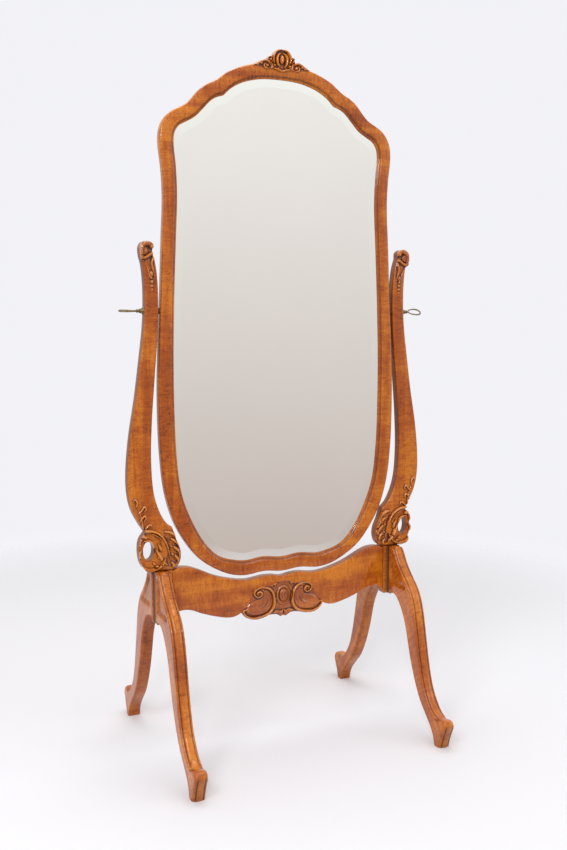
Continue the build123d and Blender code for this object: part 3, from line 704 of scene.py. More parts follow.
def carved_height(flat, strokes, ground):
    """Height of the carving above its ground at each point."""
    high = np.full(len(flat), float(ground))
    for kind, points, width, height, *style in strokes:
        style = style[0] if style else "both"
        if kind == "lobe":
            loop = counter(smooth(list(points) + [points[0]], 1.0)[:-1])
            gap, _ = line_distance(flat, loop, True)
            fill = np.where(inside(flat, [loop]), np.clip(gap / width, 0, 1), 0)
            rise = height * np.sqrt(1 - (1 - fill) ** 2)
            high = np.maximum(high, np.where(fill > 0, rise, ground))
            continue
        if kind == "oval":
            (x, z), (rx, rz) = points
            q = ((flat[:, 0] - x) / rx) ** 2 + ((flat[:, 1] - z) / rz) ** 2
            rise = height * np.sqrt(np.clip(1 - q * width, 0, 1))
            high = np.where(q < 1, np.maximum(high, rise) if height > 0 else high + rise, high)
            continue
        gap, t = line_distance(flat, smooth(points, 1.0))
        size = taper(style, t)
        q = np.clip(gap / (width * size), 0, 1)
        if kind == "ridge":
            rise = height * size ** 0.5 * np.sqrt(1 - q ** 2)
            high = np.maximum(high, np.where(q < 1, rise, ground))
        elif kind == "groove":
            high = high - height * size ** 0.5 * (1 - q ** 2) ** 1.5
    return high


# Carved ridges are painted paler as painted highlight, and hollows painted dark as painted shade.
RIDGE_HIGHLIGHT, PALEST = 0.34, -0.75        # how fast, and how far, a ridge goes pale
STAIN_EVERYWHERE = 0.06                 # the stain that stays on a level face
SURROUNDINGS, FULL_DEPTH = 16, 0.85     # rounds of averaging, and the depth in mm that is black
BACK_STAIN = 0.15                       # the plain sawn back of a carving
CARVING_ROUNDING = 0.9


def hollowness(points, faces):
    """How far each point lies below its neighbours' mean, up to 1, or above it, as less than 0."""
    pairs = np.array([(f[k - 1], f[k]) for f in faces for k in range(len(f))])
    forward = -points[:, 1].copy()
    mean = forward.copy()
    degree = np.bincount(pairs.ravel(), minlength=len(points))
    for _ in range(SURROUNDINGS):
        total = np.bincount(pairs[:, 0], mean[pairs[:, 1]], len(points))
        total += np.bincount(pairs[:, 1], mean[pairs[:, 0]], len(points))
        mean = 0.5 * mean + 0.5 * total / np.maximum(degree, 1)
    # Depth below the neighbours becomes painted shade, height above them painted highlight.
    depth = (mean - forward) / FULL_DEPTH + STAIN_EVERYWHERE
    return np.clip(np.where(depth < 0, depth * RIDGE_HIGHLIGHT, depth), PALEST, 1)


def relief(loops, face_y, back_y, strokes, ground, spacing=1.25):
    """A carved slab: points, faces and hollowness."""
    def front(flat):
        return face_y - carved_height(flat, strokes, ground)
    points, faces = slab(loops, front, level_at(back_y), CARVING_ROUNDING, spacing,
                         3, False)
    points, faces = welded(points, faces)
    hollow = hollowness(points, faces)
    hollow[points[:, 1] > back_y - 0.5] = BACK_STAIN
    return points, faces, hollow


# Painted shade on the sawn walls of a board, darkest midway between its two faces.
WALL_SHADE, WALL_UNSHADED, WALL_FADE = 0.8, 1.5, 4     # how dark, and where, mm from a face


def shaded_walls(points, half):
    """Painted shade darkens the sawn walls of a board, between its two faces."""
    return WALL_SHADE * np.clip((half - WALL_UNSHADED - np.abs(points[:, 1])) / WALL_FADE, 0, 1)


# %% [markdown]
# ## The mirror frame
# The frame is a flat maple moulding with rounded outer edges and a hollow inside it, beside the
# glass. It is glued up from four sawn pieces. One section is carried round two matched lines, the
# outer edge and the inner edge of the flat face, and the ring is then cut at the joints, so that
# each piece has its own grain.

# %% Frame outlines
PIVOT = frame["record"]["behaviour"]["joints"][0]["pos_m"][2] / MM
FRAME_HALF = 12.5
ARCH = [(0, 1816.3), (40, 1813.8), (80, 1806.2), (120, 1793.1), (150, 1779.3)]
OUTER_SIDE = [(150, 1779.3), (170, 1764), (187, 1752.5), (205, 1744), (226, 1728.5), (245, 1707.5),
              (262, 1690.5), (281, 1680), (304, 1667), (322, 1648), (332.5, 1622), (334.5, 1590),
              (328, 1530), (325, 1460), (330, 1350), (336.5, 1200), (343, 1075), (346.7, 950),
              (343, 800), (331, 695), (308, 618), (276, 560), (238, 514), (195, 484), (152, 464.5),
              (110, 457.5), (54, 463), (0, 458), (-54, 463)]
FACE_ARCH = [(-62, 1778), (0, 1782), (62, 1778), (110, 1764.5), (143, 1746), (164, 1727)]
FACE_SIDE = [(164, 1727), (181, 1721.5), (200, 1709.5), (222, 1687), (242, 1667), (264, 1654),
             (286, 1641), (300, 1620), (303.5, 1592), (298.5, 1535), (296, 1465), (301, 1350),
             (307.5, 1200), (311.5, 1050), (311.3, 920), (306.5, 790), (294, 692), (268, 620),
             (229, 551), (188, 511), (142, 494.5), (105, 489.5), (57, 495), (0, 489.5), (-57, 495)]
MOULDING = 8.0


def half_lines():
    """Outer edge and face edge of the right half, from the top to the foot."""
    outer = joined(smooth(ARCH, 1), smooth(OUTER_SIDE, 1))
    outer = outer[:mark(outer, (0, 458)) + 1]
    face = joined(smooth(FACE_ARCH, 1), smooth(FACE_SIDE, 1))
    face = face[mark(face, (0, 1782)):mark(face, (0, 489.5)) + 1]
    return outer, face


outer_line, face_line = half_lines()
ANCHORS = [((0, 1816.3), (0, 1782)), ((187, 1752.5), (164, 1727)), ((334.5, 1590), (303.5, 1592)),
           ((338, 1170), (308.5, 1170)), ((250.7, 533), (231.3, 554.7)), ((0, 458), (0, 489.5))]
outer_half, face_half, cuts = matched(outer_line, face_line, ANCHORS, 7.0)


def whole_ring(half):
    """A closed ring from its right half, which starts and ends on the middle line."""
    return np.vstack([half, (half * np.array([-1.0, 1.0]))[::-1][1:-1]])


def towards_glass(ring, distance):
    """A clockwise ring, moved towards the glass."""
    return inset(ring[::-1], distance)[::-1]


outer_ring, face_ring = whole_ring(outer_half), whole_ring(face_half)
sight_ring = towards_glass(face_ring, MOULDING)
print("frame stations:", len(outer_ring), "cuts at", cuts)

# %% Frame pieces
# section of the frame: (from the outer edge, y) first, then (towards the glass, y)
OUTER_SECTION = [(4.0, 12.5), (1.6, 12.0), (0.4, 10.8), (0.0, 8.5), (0.0, -6.5), (0.45, -8.8),
                 (1.6, -10.8), (3.4, -12.0), (6.0, -12.5)]
FACE_SECTION = [(-12.0, -12.6), (-3.0, -12.5), (-0.9, -12.3), (-0.1, -11.6)]
COVE_SECTION = [(0.06, -10.2), (0.2, -8.3), (0.42, -6.7), (0.66, -5.7), (0.86, -5.3), (0.96, -5.6),
                (1.0, -5.0), (1.0, -3.5)]
BACK_SECTION = [(6.0, -3.5), (6.0, 5.0), (11.0, 5.0), (11.0, 12.5)]
# Painted shade in the cove and along the back edge, and a painted highlight at the cove's edge by
# the glass.
COVE_SHADE_AND_HIGHLIGHT = (0.1, 0.4, 0.6, 0.45, 0.2, -0.15, -0.5, 0.25)
BACK_EDGE_SHADE = 0.4
JOINT_GAP = 0.12


def frame_section(outer, face, sight):
    """The moulding's section between three matched points."""
    inward = (face - outer) / np.linalg.norm(face - outer)
    ring = [(*(outer + inward * a), y) for a, y in OUTER_SECTION]
    ring += [(*(face + inward * a), y) for a, y in FACE_SECTION]
    ring += [(*(face + (sight - face) * a), y) for a, y in COVE_SECTION]
    ring += [(*(sight - inward * a), y) for a, y in BACK_SECTION]
    return [(x, y, z) for x, z, y in ring]


def frame_piece(name, stations, grain):
    """One of the frame's four pieces, cut a hair short at its joints."""
    rings = [np.array(frame_section(outer_ring[i], face_ring[i], sight_ring[i])) for i in stations]
    for end, beside in ((0, 1), (-1, -2)):
        along = rings[beside].mean(axis=0) - rings[end].mean(axis=0)
        rings[end] = rings[end] + along / np.linalg.norm(along) * JOINT_GAP
    section = len(rings[0])
    hollow = np.zeros(section)
    first = len(OUTER_SECTION) + len(FACE_SECTION)
    hollow[first - 1:first + 7] = COVE_SHADE_AND_HIGHLIGHT
    hollow[:2] = BACK_EDGE_SHADE
    make_piece(name, np.vstack(rings), tube_faces(len(rings), section), FIGURED_MAPLE, "mirror",
               grain=grain, shade_highlight_stain=np.tile(hollow, len(rings)))


count = len(outer_ring)
shoulder, corner = cuts[2], cuts[4]
frame_piece("frame_right_stile", range(shoulder, corner + 1), (2, 0, 1))
frame_piece("frame_left_stile", range(count - corner, count - shoulder + 1), (2, 0, 1))
frame_piece("frame_bottom_rail", range(corner, count - corner + 1), (0, 2, 1))
frame_piece("frame_top_rail", [i % count for i in range(count - shoulder, count + shoulder + 1)],
            (0, 2, 1))

# %% [markdown]
# ## The bevelled plate
# A thick looking glass, ground to a slope about two centimetres wide all round. The slope must be
# true geometry, because its slight tilt is what makes it reflect another part of the room.

# %% Mirror glass
GLASS_FRONT, GLASS_THICK = -3.5, 5.0
GLASS_BEVEL, GLASS_DROP, GLASS_IN_REBATE = 26.0, 0.9, 5.0


def bevelled_plate():
    """Rim, slope and field of the plate."""
    rim = counter(inset(face_ring[::-1], MOULDING - GLASS_IN_REBATE))
    inner = inset(rim, GLASS_BEVEL, 1.3)
    y_rim, y_back = GLASS_FRONT + GLASS_DROP, GLASS_FRONT + GLASS_THICK
    flat, triangles, order = field([inner], 40)
    points = [np.column_stack([flat[:, 0], np.full(len(flat), GLASS_FRONT), flat[:, 1]])]
    faces = [tuple(t) for t in triangles]
    slot_of = [0] * len(faces)
    size, total = len(rim), len(flat)
    for y in (y_rim, y_back):
        points.append(np.column_stack([rim[:, 0], np.full(size, y), rim[:, 1]]))
    rows = [order, list(range(total, total + size)), list(range(total + size, total + 2 * size))]
    for k, (one, two) in enumerate(zip(rows, rows[1:])):
        for i in range(size):
            j = (i + 1) % size
            faces.append((one[i], one[j], two[j], two[i]))
            slot_of.append(1 if k == 0 else 0)
    faces.append(tuple(rows[2]))
    slot_of.append(0)
    make_piece("mirror_glass", np.vstack(points), faces, SILVERED, "mirror",
               slot="silvered_glass", sharp=1.5, extra=(BEVELLED, slot_of))


bevelled_plate()

# %% [markdown]
# ## Cross rail
# A shaped board between the two corner posts. Its edges are softened by hand, so the slab builder
# turns them over a small radius on both faces.

# %% Cross rail
BOARD_HALF = 14.0
RAIL_TOP = [(-27, 449), (0, 444.5), (27, 449), (52, 450), (105, 444.5), (152, 452), (200, 467),
            (240, 486), (270, 497.5), (300, 499.5), (319, 493)]
RAIL_FOOT = [(319, 366), (303, 381), (272, 382), (238, 368.5), (200, 355.5), (160, 346.5),
             (138, 348.5), (123, 355.5)]
RAIL_LOBE = [(123, 355.5), (111, 342), (94, 334), (74, 332.5), (52, 336.5), (32, 339), (17, 337),
             (7, 330.5)]


def both_sides(right_half):
    """Close an outline from its right half, which runs from the top middle to the foot middle."""
    right_half = np.array(right_half)
    return counter(joined(right_half, mirrored(right_half)))


rail_half_top = smooth(RAIL_TOP, 4)
rail_half_top = rail_half_top[mark(rail_half_top, (0, 444.5)):]
RAIL_LOOP = both_sides(joined(rail_half_top, smooth(RAIL_FOOT, 4), smooth(RAIL_LOBE, 4),
                              [(7, 330.5), (0, 334)]))
points, faces = slab([RAIL_LOOP], level_at(-BOARD_HALF), level_at(BOARD_HALF), 3.5, 14)
points, faces = welded(points, faces)
make_piece("cross_rail", points, faces, FIGURED_MAPLE, "stand", grain=(0, 2, 1),
           shade_highlight_stain=shaded_walls(points, BOARD_HALF))

# %% [markdown]
# ## Standards
# Each standard is sawn from one board: a tall S that is pierced at its knee. The saw leaves square
# edges and the maker rounds them, more than on the rail, so the light runs down them in a line.

# %% Standards
STANDARD_OUTER = [(389, 1304), (385, 1290), (380.5, 1245), (379.8, 1190), (383, 1130), (393, 1050),
                  (407, 950), (424, 850), (433, 760), (432, 705), (423, 662), (406, 627),
                  (390, 602)]
STANDARD_KNEE = [(390, 602), (403, 583), (407, 550), (401, 518), (385, 497)]
STANDARD_LOBE = [(318, 497), (303, 505), (294, 523), (294.5, 550), (306, 579), (316, 610)]
STANDARD_INNER = [(316, 610), (331, 622), (347, 648), (363, 698), (369.3, 780), (366.5, 875),
                  (356.5, 1000), (347, 1110), (344, 1200), (346.5, 1262), (352, 1297), (359, 1320)]
VOLUTE = [(359, 1320), (359.5, 1334), (366, 1342), (375, 1344.3), (385, 1341), (390.5, 1331),
          (391, 1318), (389, 1304)]
KNEE_HOLE, KNEE_HOLE_SIZE = (382, 553), (14, 25)


def ellipse(centre, radii, count):
    """A closed oval of count points."""
    turn = np.linspace(0, 2 * math.pi, count, endpoint=False)
    return np.column_stack([centre[0] + radii[0] * np.cos(turn),
                            centre[1] + radii[1] * np.sin(turn)])


STANDARD_LOOP = counter(joined(smooth(VOLUTE, 3), smooth(STANDARD_OUTER, 5),
                               smooth(STANDARD_KNEE, 4), [(385, 497), (318, 497)],
                               smooth(STANDARD_LOBE, 4), smooth(STANDARD_INNER, 5)))
HOLE_LOOP = ellipse(KNEE_HOLE, KNEE_HOLE_SIZE, 36)[::-1].copy()
points, faces = slab([STANDARD_LOOP, HOLE_LOOP], level_at(-BOARD_HALF), level_at(BOARD_HALF),
                     4.5, 12, 5)
points, faces = welded(points, faces)
make_pair("upright", points, faces, FIGURED_MAPLE, shaded_walls(points, BOARD_HALF))

# %% [markdown]
# ## Corner posts
# A short post stands at each end, between the two legs and under the standard. Its section has a
# rounded strip towards the rail and a bead on the outside, and its foot is turned in like a
# pendant.

# %% Corner posts
POST_SECTION = [(318, 0), (318, 11.5), (319.4, 15.2), (323, 17), (330.5, 17), (332, 18.5),
                (332, 25),
                (333, 27.2), (335.2, 28), (363.6, 28), (366, 27.2), (367, 25), (367, 7.5),
                (368, 5.4), (370, 4.4), (371.5, 2.6), (372, 0)]
# Painted shade in the quirks beside the strip and the bead and on the face against the rail's end,
# and painted highlight on the outer bead.
POST_SHADE_AND_HIGHLIGHT = [0.6, 0.45, 0.3, 0.3, 0.6, 1.0, 0.7, 0.2, 0.3, 0.1, 0.1, 0.4, 0.95, 0.6, 0.0, -0.2,
              -0.2]
POST_LEVELS = [(497, 0), (470, 0), (430, 0), (390, 0), (372, 0), (365, 0.7), (360, 2.4), (357, 5),
               (355.9, 8)]


def post_points():
    """Points, faces, and painted shade and highlight, of the right post."""
    outline = counter(joined(POST_SECTION, [(x, -y) for x, y in reversed(POST_SECTION)]))
    rows = []
    for z, shrink in POST_LEVELS:
        ring = inset(outline, shrink, 1.2)
        rows.append(np.column_stack([ring[:, 0], ring[:, 1], np.full(len(ring), z)]))
    nearest = [int(np.argmin(np.hypot(*(np.abs(point) - np.array(POST_SECTION)).T)))
               for point in outline]
    tone = np.tile([POST_SHADE_AND_HIGHLIGHT[k] for k in nearest], len(rows))
    return np.vstack(rows), tube_faces(len(rows), len(outline)), tone


points, faces, tone = post_points()
make_pair("corner_post", points, faces, FIGURED_MAPLE, tone)

# %% [markdown]
# ## Cabriole legs
# The legs are moulded along their crown: a raised band in the middle, a quirk on each side of it
# and a small bead at each edge. The cheeks are flat, with a sunk panel beside the post. A section
# is carried between the crown line and the line of the underside. At the foot the band ends in a
# fold, and the toe below it is a knob with a groove on each side.

# %% Leg lines
LEG_X = 349.5
CROWN = [(26, 498), (43, 499), (54, 487), (68, 465), (86, 444), (108, 423), (128, 405), (146, 381),
         (161, 345), (171, 307), (181, 262), (192, 215), (204, 172), (218, 137), (238, 107),
         (262, 84), (283, 76), (302, 79), (314, 75), (317.5, 65), (309, 42), (302, 22), (296, 0)]
UNDER = [(268, 0), (262, 20), (250, 40), (222, 70), (195, 98), (170, 138), (152, 176), (138, 212),
         (126, 250), (114, 287), (100, 316), (84, 339), (64, 358), (44, 364), (26, 364.5)]
LEG_PAIRS = [((26, 498), (26, 364.5)), ((86, 444), (62, 359)), ((146, 381), (98, 319)),
             ((181, 262), (126, 250)), ((204, 172), (159, 160)), ((238, 107), (202, 91)),
             ((262, 84), (226, 66)), ((283, 76), (242, 50)), ((302, 79), (252, 37)),
             ((314, 75), (257, 29)), ((317.5, 65), (261, 22)), ((302, 22), (265, 10)),
             ((296, 0), (268, 0))]
crown_line, under_line = smooth(CROWN, 1), smooth(UNDER, 1)[::-1]
crown_row, under_row, _ = matched(crown_line, under_line, LEG_PAIRS, 5.0)
# half of the moulded crown and of a plain rounded one: x, and depth below the crown line
MOULDED = [(0, 0.0), (4.5, 0.4), (7.6, 1.4), (9.4, 2.8), (10.4, 4.4), (11.3, 5.0), (12.3, 4.6),
           (13.5, 4.0), (15.0, 4.3), (16.5, 5.6), (17.4, 7.6)]
PLAIN = [0.0, 0.3, 0.7, 1.1, 1.5, 2.0, 2.5, 3.3, 4.8, 7.0, 10.0]
# Painted shade in the quirks of the crown and painted highlight on its raised band.
CROWN_SHADE_AND_HIGHLIGHT = [-0.2, -0.2, -0.15, 0.05, 0.5, 0.7, 0.4, 0.0, -0.2, 0.0, 0.15]
CHEEK_ROWS, CHEEK_START, CHEEK_X = 19, 10.5, 17.5
# Painted shade on the cheeks, more in the sunk panel and most along its edge.
CHEEK_SHADE, PANEL_SHADE, PANEL_RIM_SHADE, CROWN_STAIN = 0.08, 0.16, 0.18, 0.1
BAND_END, FOLD_AT, FOLD_RISE, NOTCH_AT, NOTCH_DEEP = 279, 273, 1.2, 285, 2.6
TOE_Y, TOE_Z, GROOVE_TOP = 250, 60, 70          # where the toe and its grooves begin
GROOVE_X, GROOVE_WIDTH, GROOVE_DEEP = 9.9, 1.3, 1.8
SOILED_Z, SOILED_FADE = 78, 30                  # the foot is darker below this height
# Points of the underside: x, distance back from the under line, and painted shade.
UNDERSIDE = [(16.4, 1.8, 0.3), (13.5, 0.2, 0.35), (7, 0, 0.35), (0, 0, 0.35)]
PANEL_TOP_DEPTH, PANEL_FOOT, PANEL_SINK = 17.0, 390.0, 5.0


def leg_points():
    """Points, faces, and real stain with painted shade and highlight, of a right front leg."""
    rings, hollows = [], []
    for (cy, cz), (uy, uz) in zip(crown_row, under_row):
        length = math.hypot(uy - cy, uz - cz)
        dy, dz = (uy - cy) / length, (uz - cz) / length
        on_toe = cy > 296 or (cz < TOE_Z and cy > TOE_Y)
        band = 0.0 if on_toe else float(np.clip((BAND_END - cy) / 5, 0, 1))
        fold = math.exp(-((cy - FOLD_AT) / 4.0) ** 2) if not on_toe else 0.0
        notch = math.exp(-((cy - NOTCH_AT) / 4.5) ** 2) if not on_toe or cz > 70 else 0.0
        soiled = float(np.clip((SOILED_Z - cz) / SOILED_FADE, 0, 1))
        half = []
        for k, ((x, deep), plain) in enumerate(zip(MOULDED, PLAIN)):
            s = deep * band + plain * (1 - band) - FOLD_RISE * fold + NOTCH_DEEP * notch * (k > 2)
            groove = 0.0
            if cz < GROOVE_TOP and cy > TOE_Y:
                groove = GROOVE_DEEP * math.exp(-((x - GROOVE_X) / GROOVE_WIDTH) ** 2)
                groove *= min(1, (GROOVE_TOP - cz) / 10)
            # Painted shade in the quirks, the notch and the toe grooves, painted highlight on the
            # band; below a height the foot is soiled darker.
            tone = CROWN_SHADE_AND_HIGHLIGHT[k] * band + 0.7 * notch * (k > 2) + 0.6 * groove
            half.append((x, s + groove, tone + 0.3 * soiled + CROWN_STAIN))
        foot_depth = max(length - 4.5, 12)
        for t in np.linspace(0, 1, CHEEK_ROWS):
            s = CHEEK_START + (foot_depth - CHEEK_START) * t
            y, z = cy + dy * s, cz + dz * s
            # Painted shade on the cheek, more in the sunk panel and most along its edge.
            edge = min(s - PANEL_TOP_DEPTH, z - PANEL_FOOT, y - 30)
            sunk = float(np.clip(edge / 4.0, 0, 1))
            panel_rim_shade = PANEL_RIM_SHADE * math.exp(-((edge - 1.0) / 3.0) ** 2) if edge > -6 else 0.0
            tone = CHEEK_SHADE + PANEL_SHADE * sunk + panel_rim_shade + 0.25 * soiled
            half.append((CHEEK_X - PANEL_SINK * sunk, s, tone))
        # Painted shade on the underside.
        half += [(x, length - up, tone) for x, up, tone in UNDERSIDE]
        full = half + [(-x, s, r) for x, s, r in half[-2:0:-1]]
        rings.append([(LEG_X + x, -(cy + dy * s), cz + dz * s) for x, s, r in full])
        hollows.append([min(r, 1.0) for x, s, r in full])
    return np.vstack(rings), tube_faces(len(rings), len(rings[0])), np.ravel(hollows)


points, faces, hollow = leg_points()
points[:, 2] = np.maximum(points[:, 2], 0)
slant = np.array([0, -270, -420]) / math.hypot(270, 420)
LEG_GRAIN = (slant, (1, 0, 0), np.cross(slant, (1, 0, 0)))
BACK_GRAIN = tuple(np.array(v) * (1, -1, 1) for v in LEG_GRAIN)
for side, turn in (("right", 1), ("left", -1)):
    for end, way, grain in (("front", 1, LEG_GRAIN), ("back", -1, BACK_GRAIN)):
        make_piece(f"{side}_{end}_leg", points * np.array([turn, way, 1]), faces, FIGURED_MAPLE,
                   "stand", grain=grain, shade_highlight_stain=hollow, sharp=50)

# %% [markdown]
# ## Carvings
# Four kinds of planted carving: the crest on the head, the scroll and leaf at the top of each
# standard, the pierced knee, and the cartouche on the rail. They share the stroke builder and
# differ only in outline and strokes. Left and right are mirror images, as a carver would pair
# them.

# %% Crest carving
CREST_HALF = [(0, 1850), (9, 1847.5), (18, 1844), (24, 1835), (30, 1830), (37, 1827), (40, 1819),
              (47, 1819.5), (56, 1815.5), (66, 1812), (76, 1807), (80, 1801.5), (62, 1800),
              (45, 1796), (26, 1798), (0, 1791)]
CREST_STROKES = [
    ("ridge", [(79, 1803), (70, 1806), (60, 1811), (48, 1816), (36, 1813), (29, 1805), (31, 1797),
               (41, 1796), (50, 1801), (49, 1808), (42, 1809)], 4.0, 8.0),
    ("oval", [(42, 1804), (5.5, 5.0)], 1.0, 7.5),
    ("ridge", [(3, 1847), (11, 1845), (20, 1838), (25, 1826), (22, 1812)], 4.2, 10.5),
    ("ridge", [(2, 1838), (9, 1835), (14, 1826), (13, 1812), (7, 1802)], 4.0, 11.0),
    ("oval", [(0, 1822), (6.5, 12)], 1.0, 11.5),
    ("ridge", [(38, 1826), (32, 1829), (27, 1823), (29, 1813)], 3.6, 9.0),
    ("oval", [(59, 1808.5), (4.6, 3.4)], 1.0, 8.6),
    ("oval", [(68, 1804.5), (4.2, 2.8)], 1.0, 7.0),
    ("oval", [(22, 1806), (4.4, 4.2)], 1.0, 9.6),
    ("oval", [(11, 1799), (3.6, 3.4)], 1.0, 9.4),
    ("oval", [(33, 1820), (3.4, 3.6)], 1.0, 9.2),
    ("oval", [(17, 1841), (3.4, 3.0)], 1.0, 10.5),
    ("ridge", [(27, 1801), (15, 1797), (0, 1793)], 3.4, 8.0, "even"),
    ("groove", [(28, 1833), (27.5, 1819), (24, 1803)], 1.5, 5.5),
    ("groove", [(12, 1843), (18, 1832), (18, 1816), (13, 1803)], 1.4, 5.0),
    ("groove", [(5, 1838), (8.5, 1826), (6, 1808)], 1.3, 4.5),
    ("groove", [(36, 1820), (34, 1812), (30, 1806)], 1.3, 4.0),
    ("groove", [(30, 1797.5), (16, 1801), (0, 1798.5)], 1.2, 3.5)]


def paired(strokes):
    """The strokes and their mirror images."""
    made = []
    for kind, line, *rest in strokes:
        made.append((kind, line, *rest))
        if kind == "oval":
            if line[0][0]:
                made.append((kind, [(-line[0][0], line[0][1]), line[1]], *rest))
        elif any(abs(x) > 1e-6 for x, z in line):
            made.append((kind, [(-x, z) for x, z in line], *rest))
    return made


crest_half = joined(*(smooth(CREST_HALF[a:b], 2) for a, b in ((0, 3), (2, 6), (5, 12), (11, 16))))
points, faces, hollow = relief([both_sides(crest_half)], -FRAME_HALF, 2.0,
                               paired(CREST_STROKES), 1.5)
make_piece("crest_carving", points, faces, CARVED_MAPLE, "mirror", grain=(0, 2, 1),
           shade_highlight_stain=hollow)

# %% Rail carving
CARTOUCHE_HALF = [(0, 432), (10, 431), (25, 427), (40, 421), (60, 424), (80, 418), (91, 406),
                  (97, 392), (106, 378), (117, 366), (121, 352), (114, 343), (104, 338),
                  (88, 333.6),
                  (70, 334), (50, 338.5), (36, 340.5), (18, 338.5), (7, 332.5), (0, 336)]
CARTOUCHE_STROKES = [
    ("lobe", [(34, 400), (44, 411), (58, 413), (64, 404), (66, 390), (84, 386), (100, 378),
              (112, 362),
              (104, 346), (80, 340), (54, 345), (38, 356), (31, 376)], 12, 4.4),
    ("ridge", [(66, 398), (72, 393), (81, 396), (87, 404), (83, 414), (70, 420), (54, 419),
               (40, 412),
               (30, 398), (27, 380), (30, 362), (41, 348), (56, 341), (74, 337), (92, 337),
               (107, 343), (117, 352), (118, 360), (111, 362), (108, 357)], 4.6, 8.6),
    ("ridge", [(76, 399), (78, 406), (71, 409), (65, 404), (66, 397), (72, 395)], 3.4, 8.0),
    ("ridge", [(46, 398), (43, 382), (50, 368), (62, 360)], 4.6, 6.4),
    ("ridge", [(58, 386), (57, 374), (66, 366), (80, 362)], 4.4, 6.0),
    ("ridge", [(8, 428), (14, 433), (22, 429), (24, 422)], 3.6, 6.6),
    ("ridge", [(22, 420), (30, 426), (38, 420)], 3.2, 6.0),
    ("lobe", [(0, 352), (9, 350), (22, 352), (32, 346), (20, 339.5), (9, 333.5), (0, 336)], 6, 6.0),
    ("ridge", [(2, 350), (9, 342), (6, 334)], 3.4, 8.0),
    ("oval", [(0, 392), (21, 28)], 1.0, 8.0),
    ("oval", [(0, 392), (17.0, 23.5)], 0.0, -5.5),
    ("oval", [(0, 392), (13.0, 18.5)], 1.0, 9.5),
    ("groove", [(2, 403), (7, 396), (4, 384)], 1.2, 1.6),
    ("groove", [(0, 352), (0, 344), (0, 335)], 1.4, 4.5, "even"),
    ("groove", [(36, 402), (32, 386), (35, 366), (46, 352), (66, 345), (90, 345), (105, 352)],
     1.7, 4.0),
    ("groove", [(48, 412), (62, 413), (70, 411)], 1.4, 4.0),
    ("groove", [(71.5, 402), (72.5, 401), (72, 400)], 2.4, 7.0, "even"),
    ("groove", [(22, 414), (27, 402), (23, 372)], 1.6, 4.0)]
cartouche = both_sides(smooth(CARTOUCHE_HALF, 2))
points, faces, hollow = relief([cartouche], -BOARD_HALF + 0.3, -BOARD_HALF + 2,
                               paired(CARTOUCHE_STROKES), 0.8)
make_piece("cross_rail_carving", points, faces, CARVED_MAPLE, "stand", grain=(0, 2, 1),
           shade_highlight_stain=hollow)

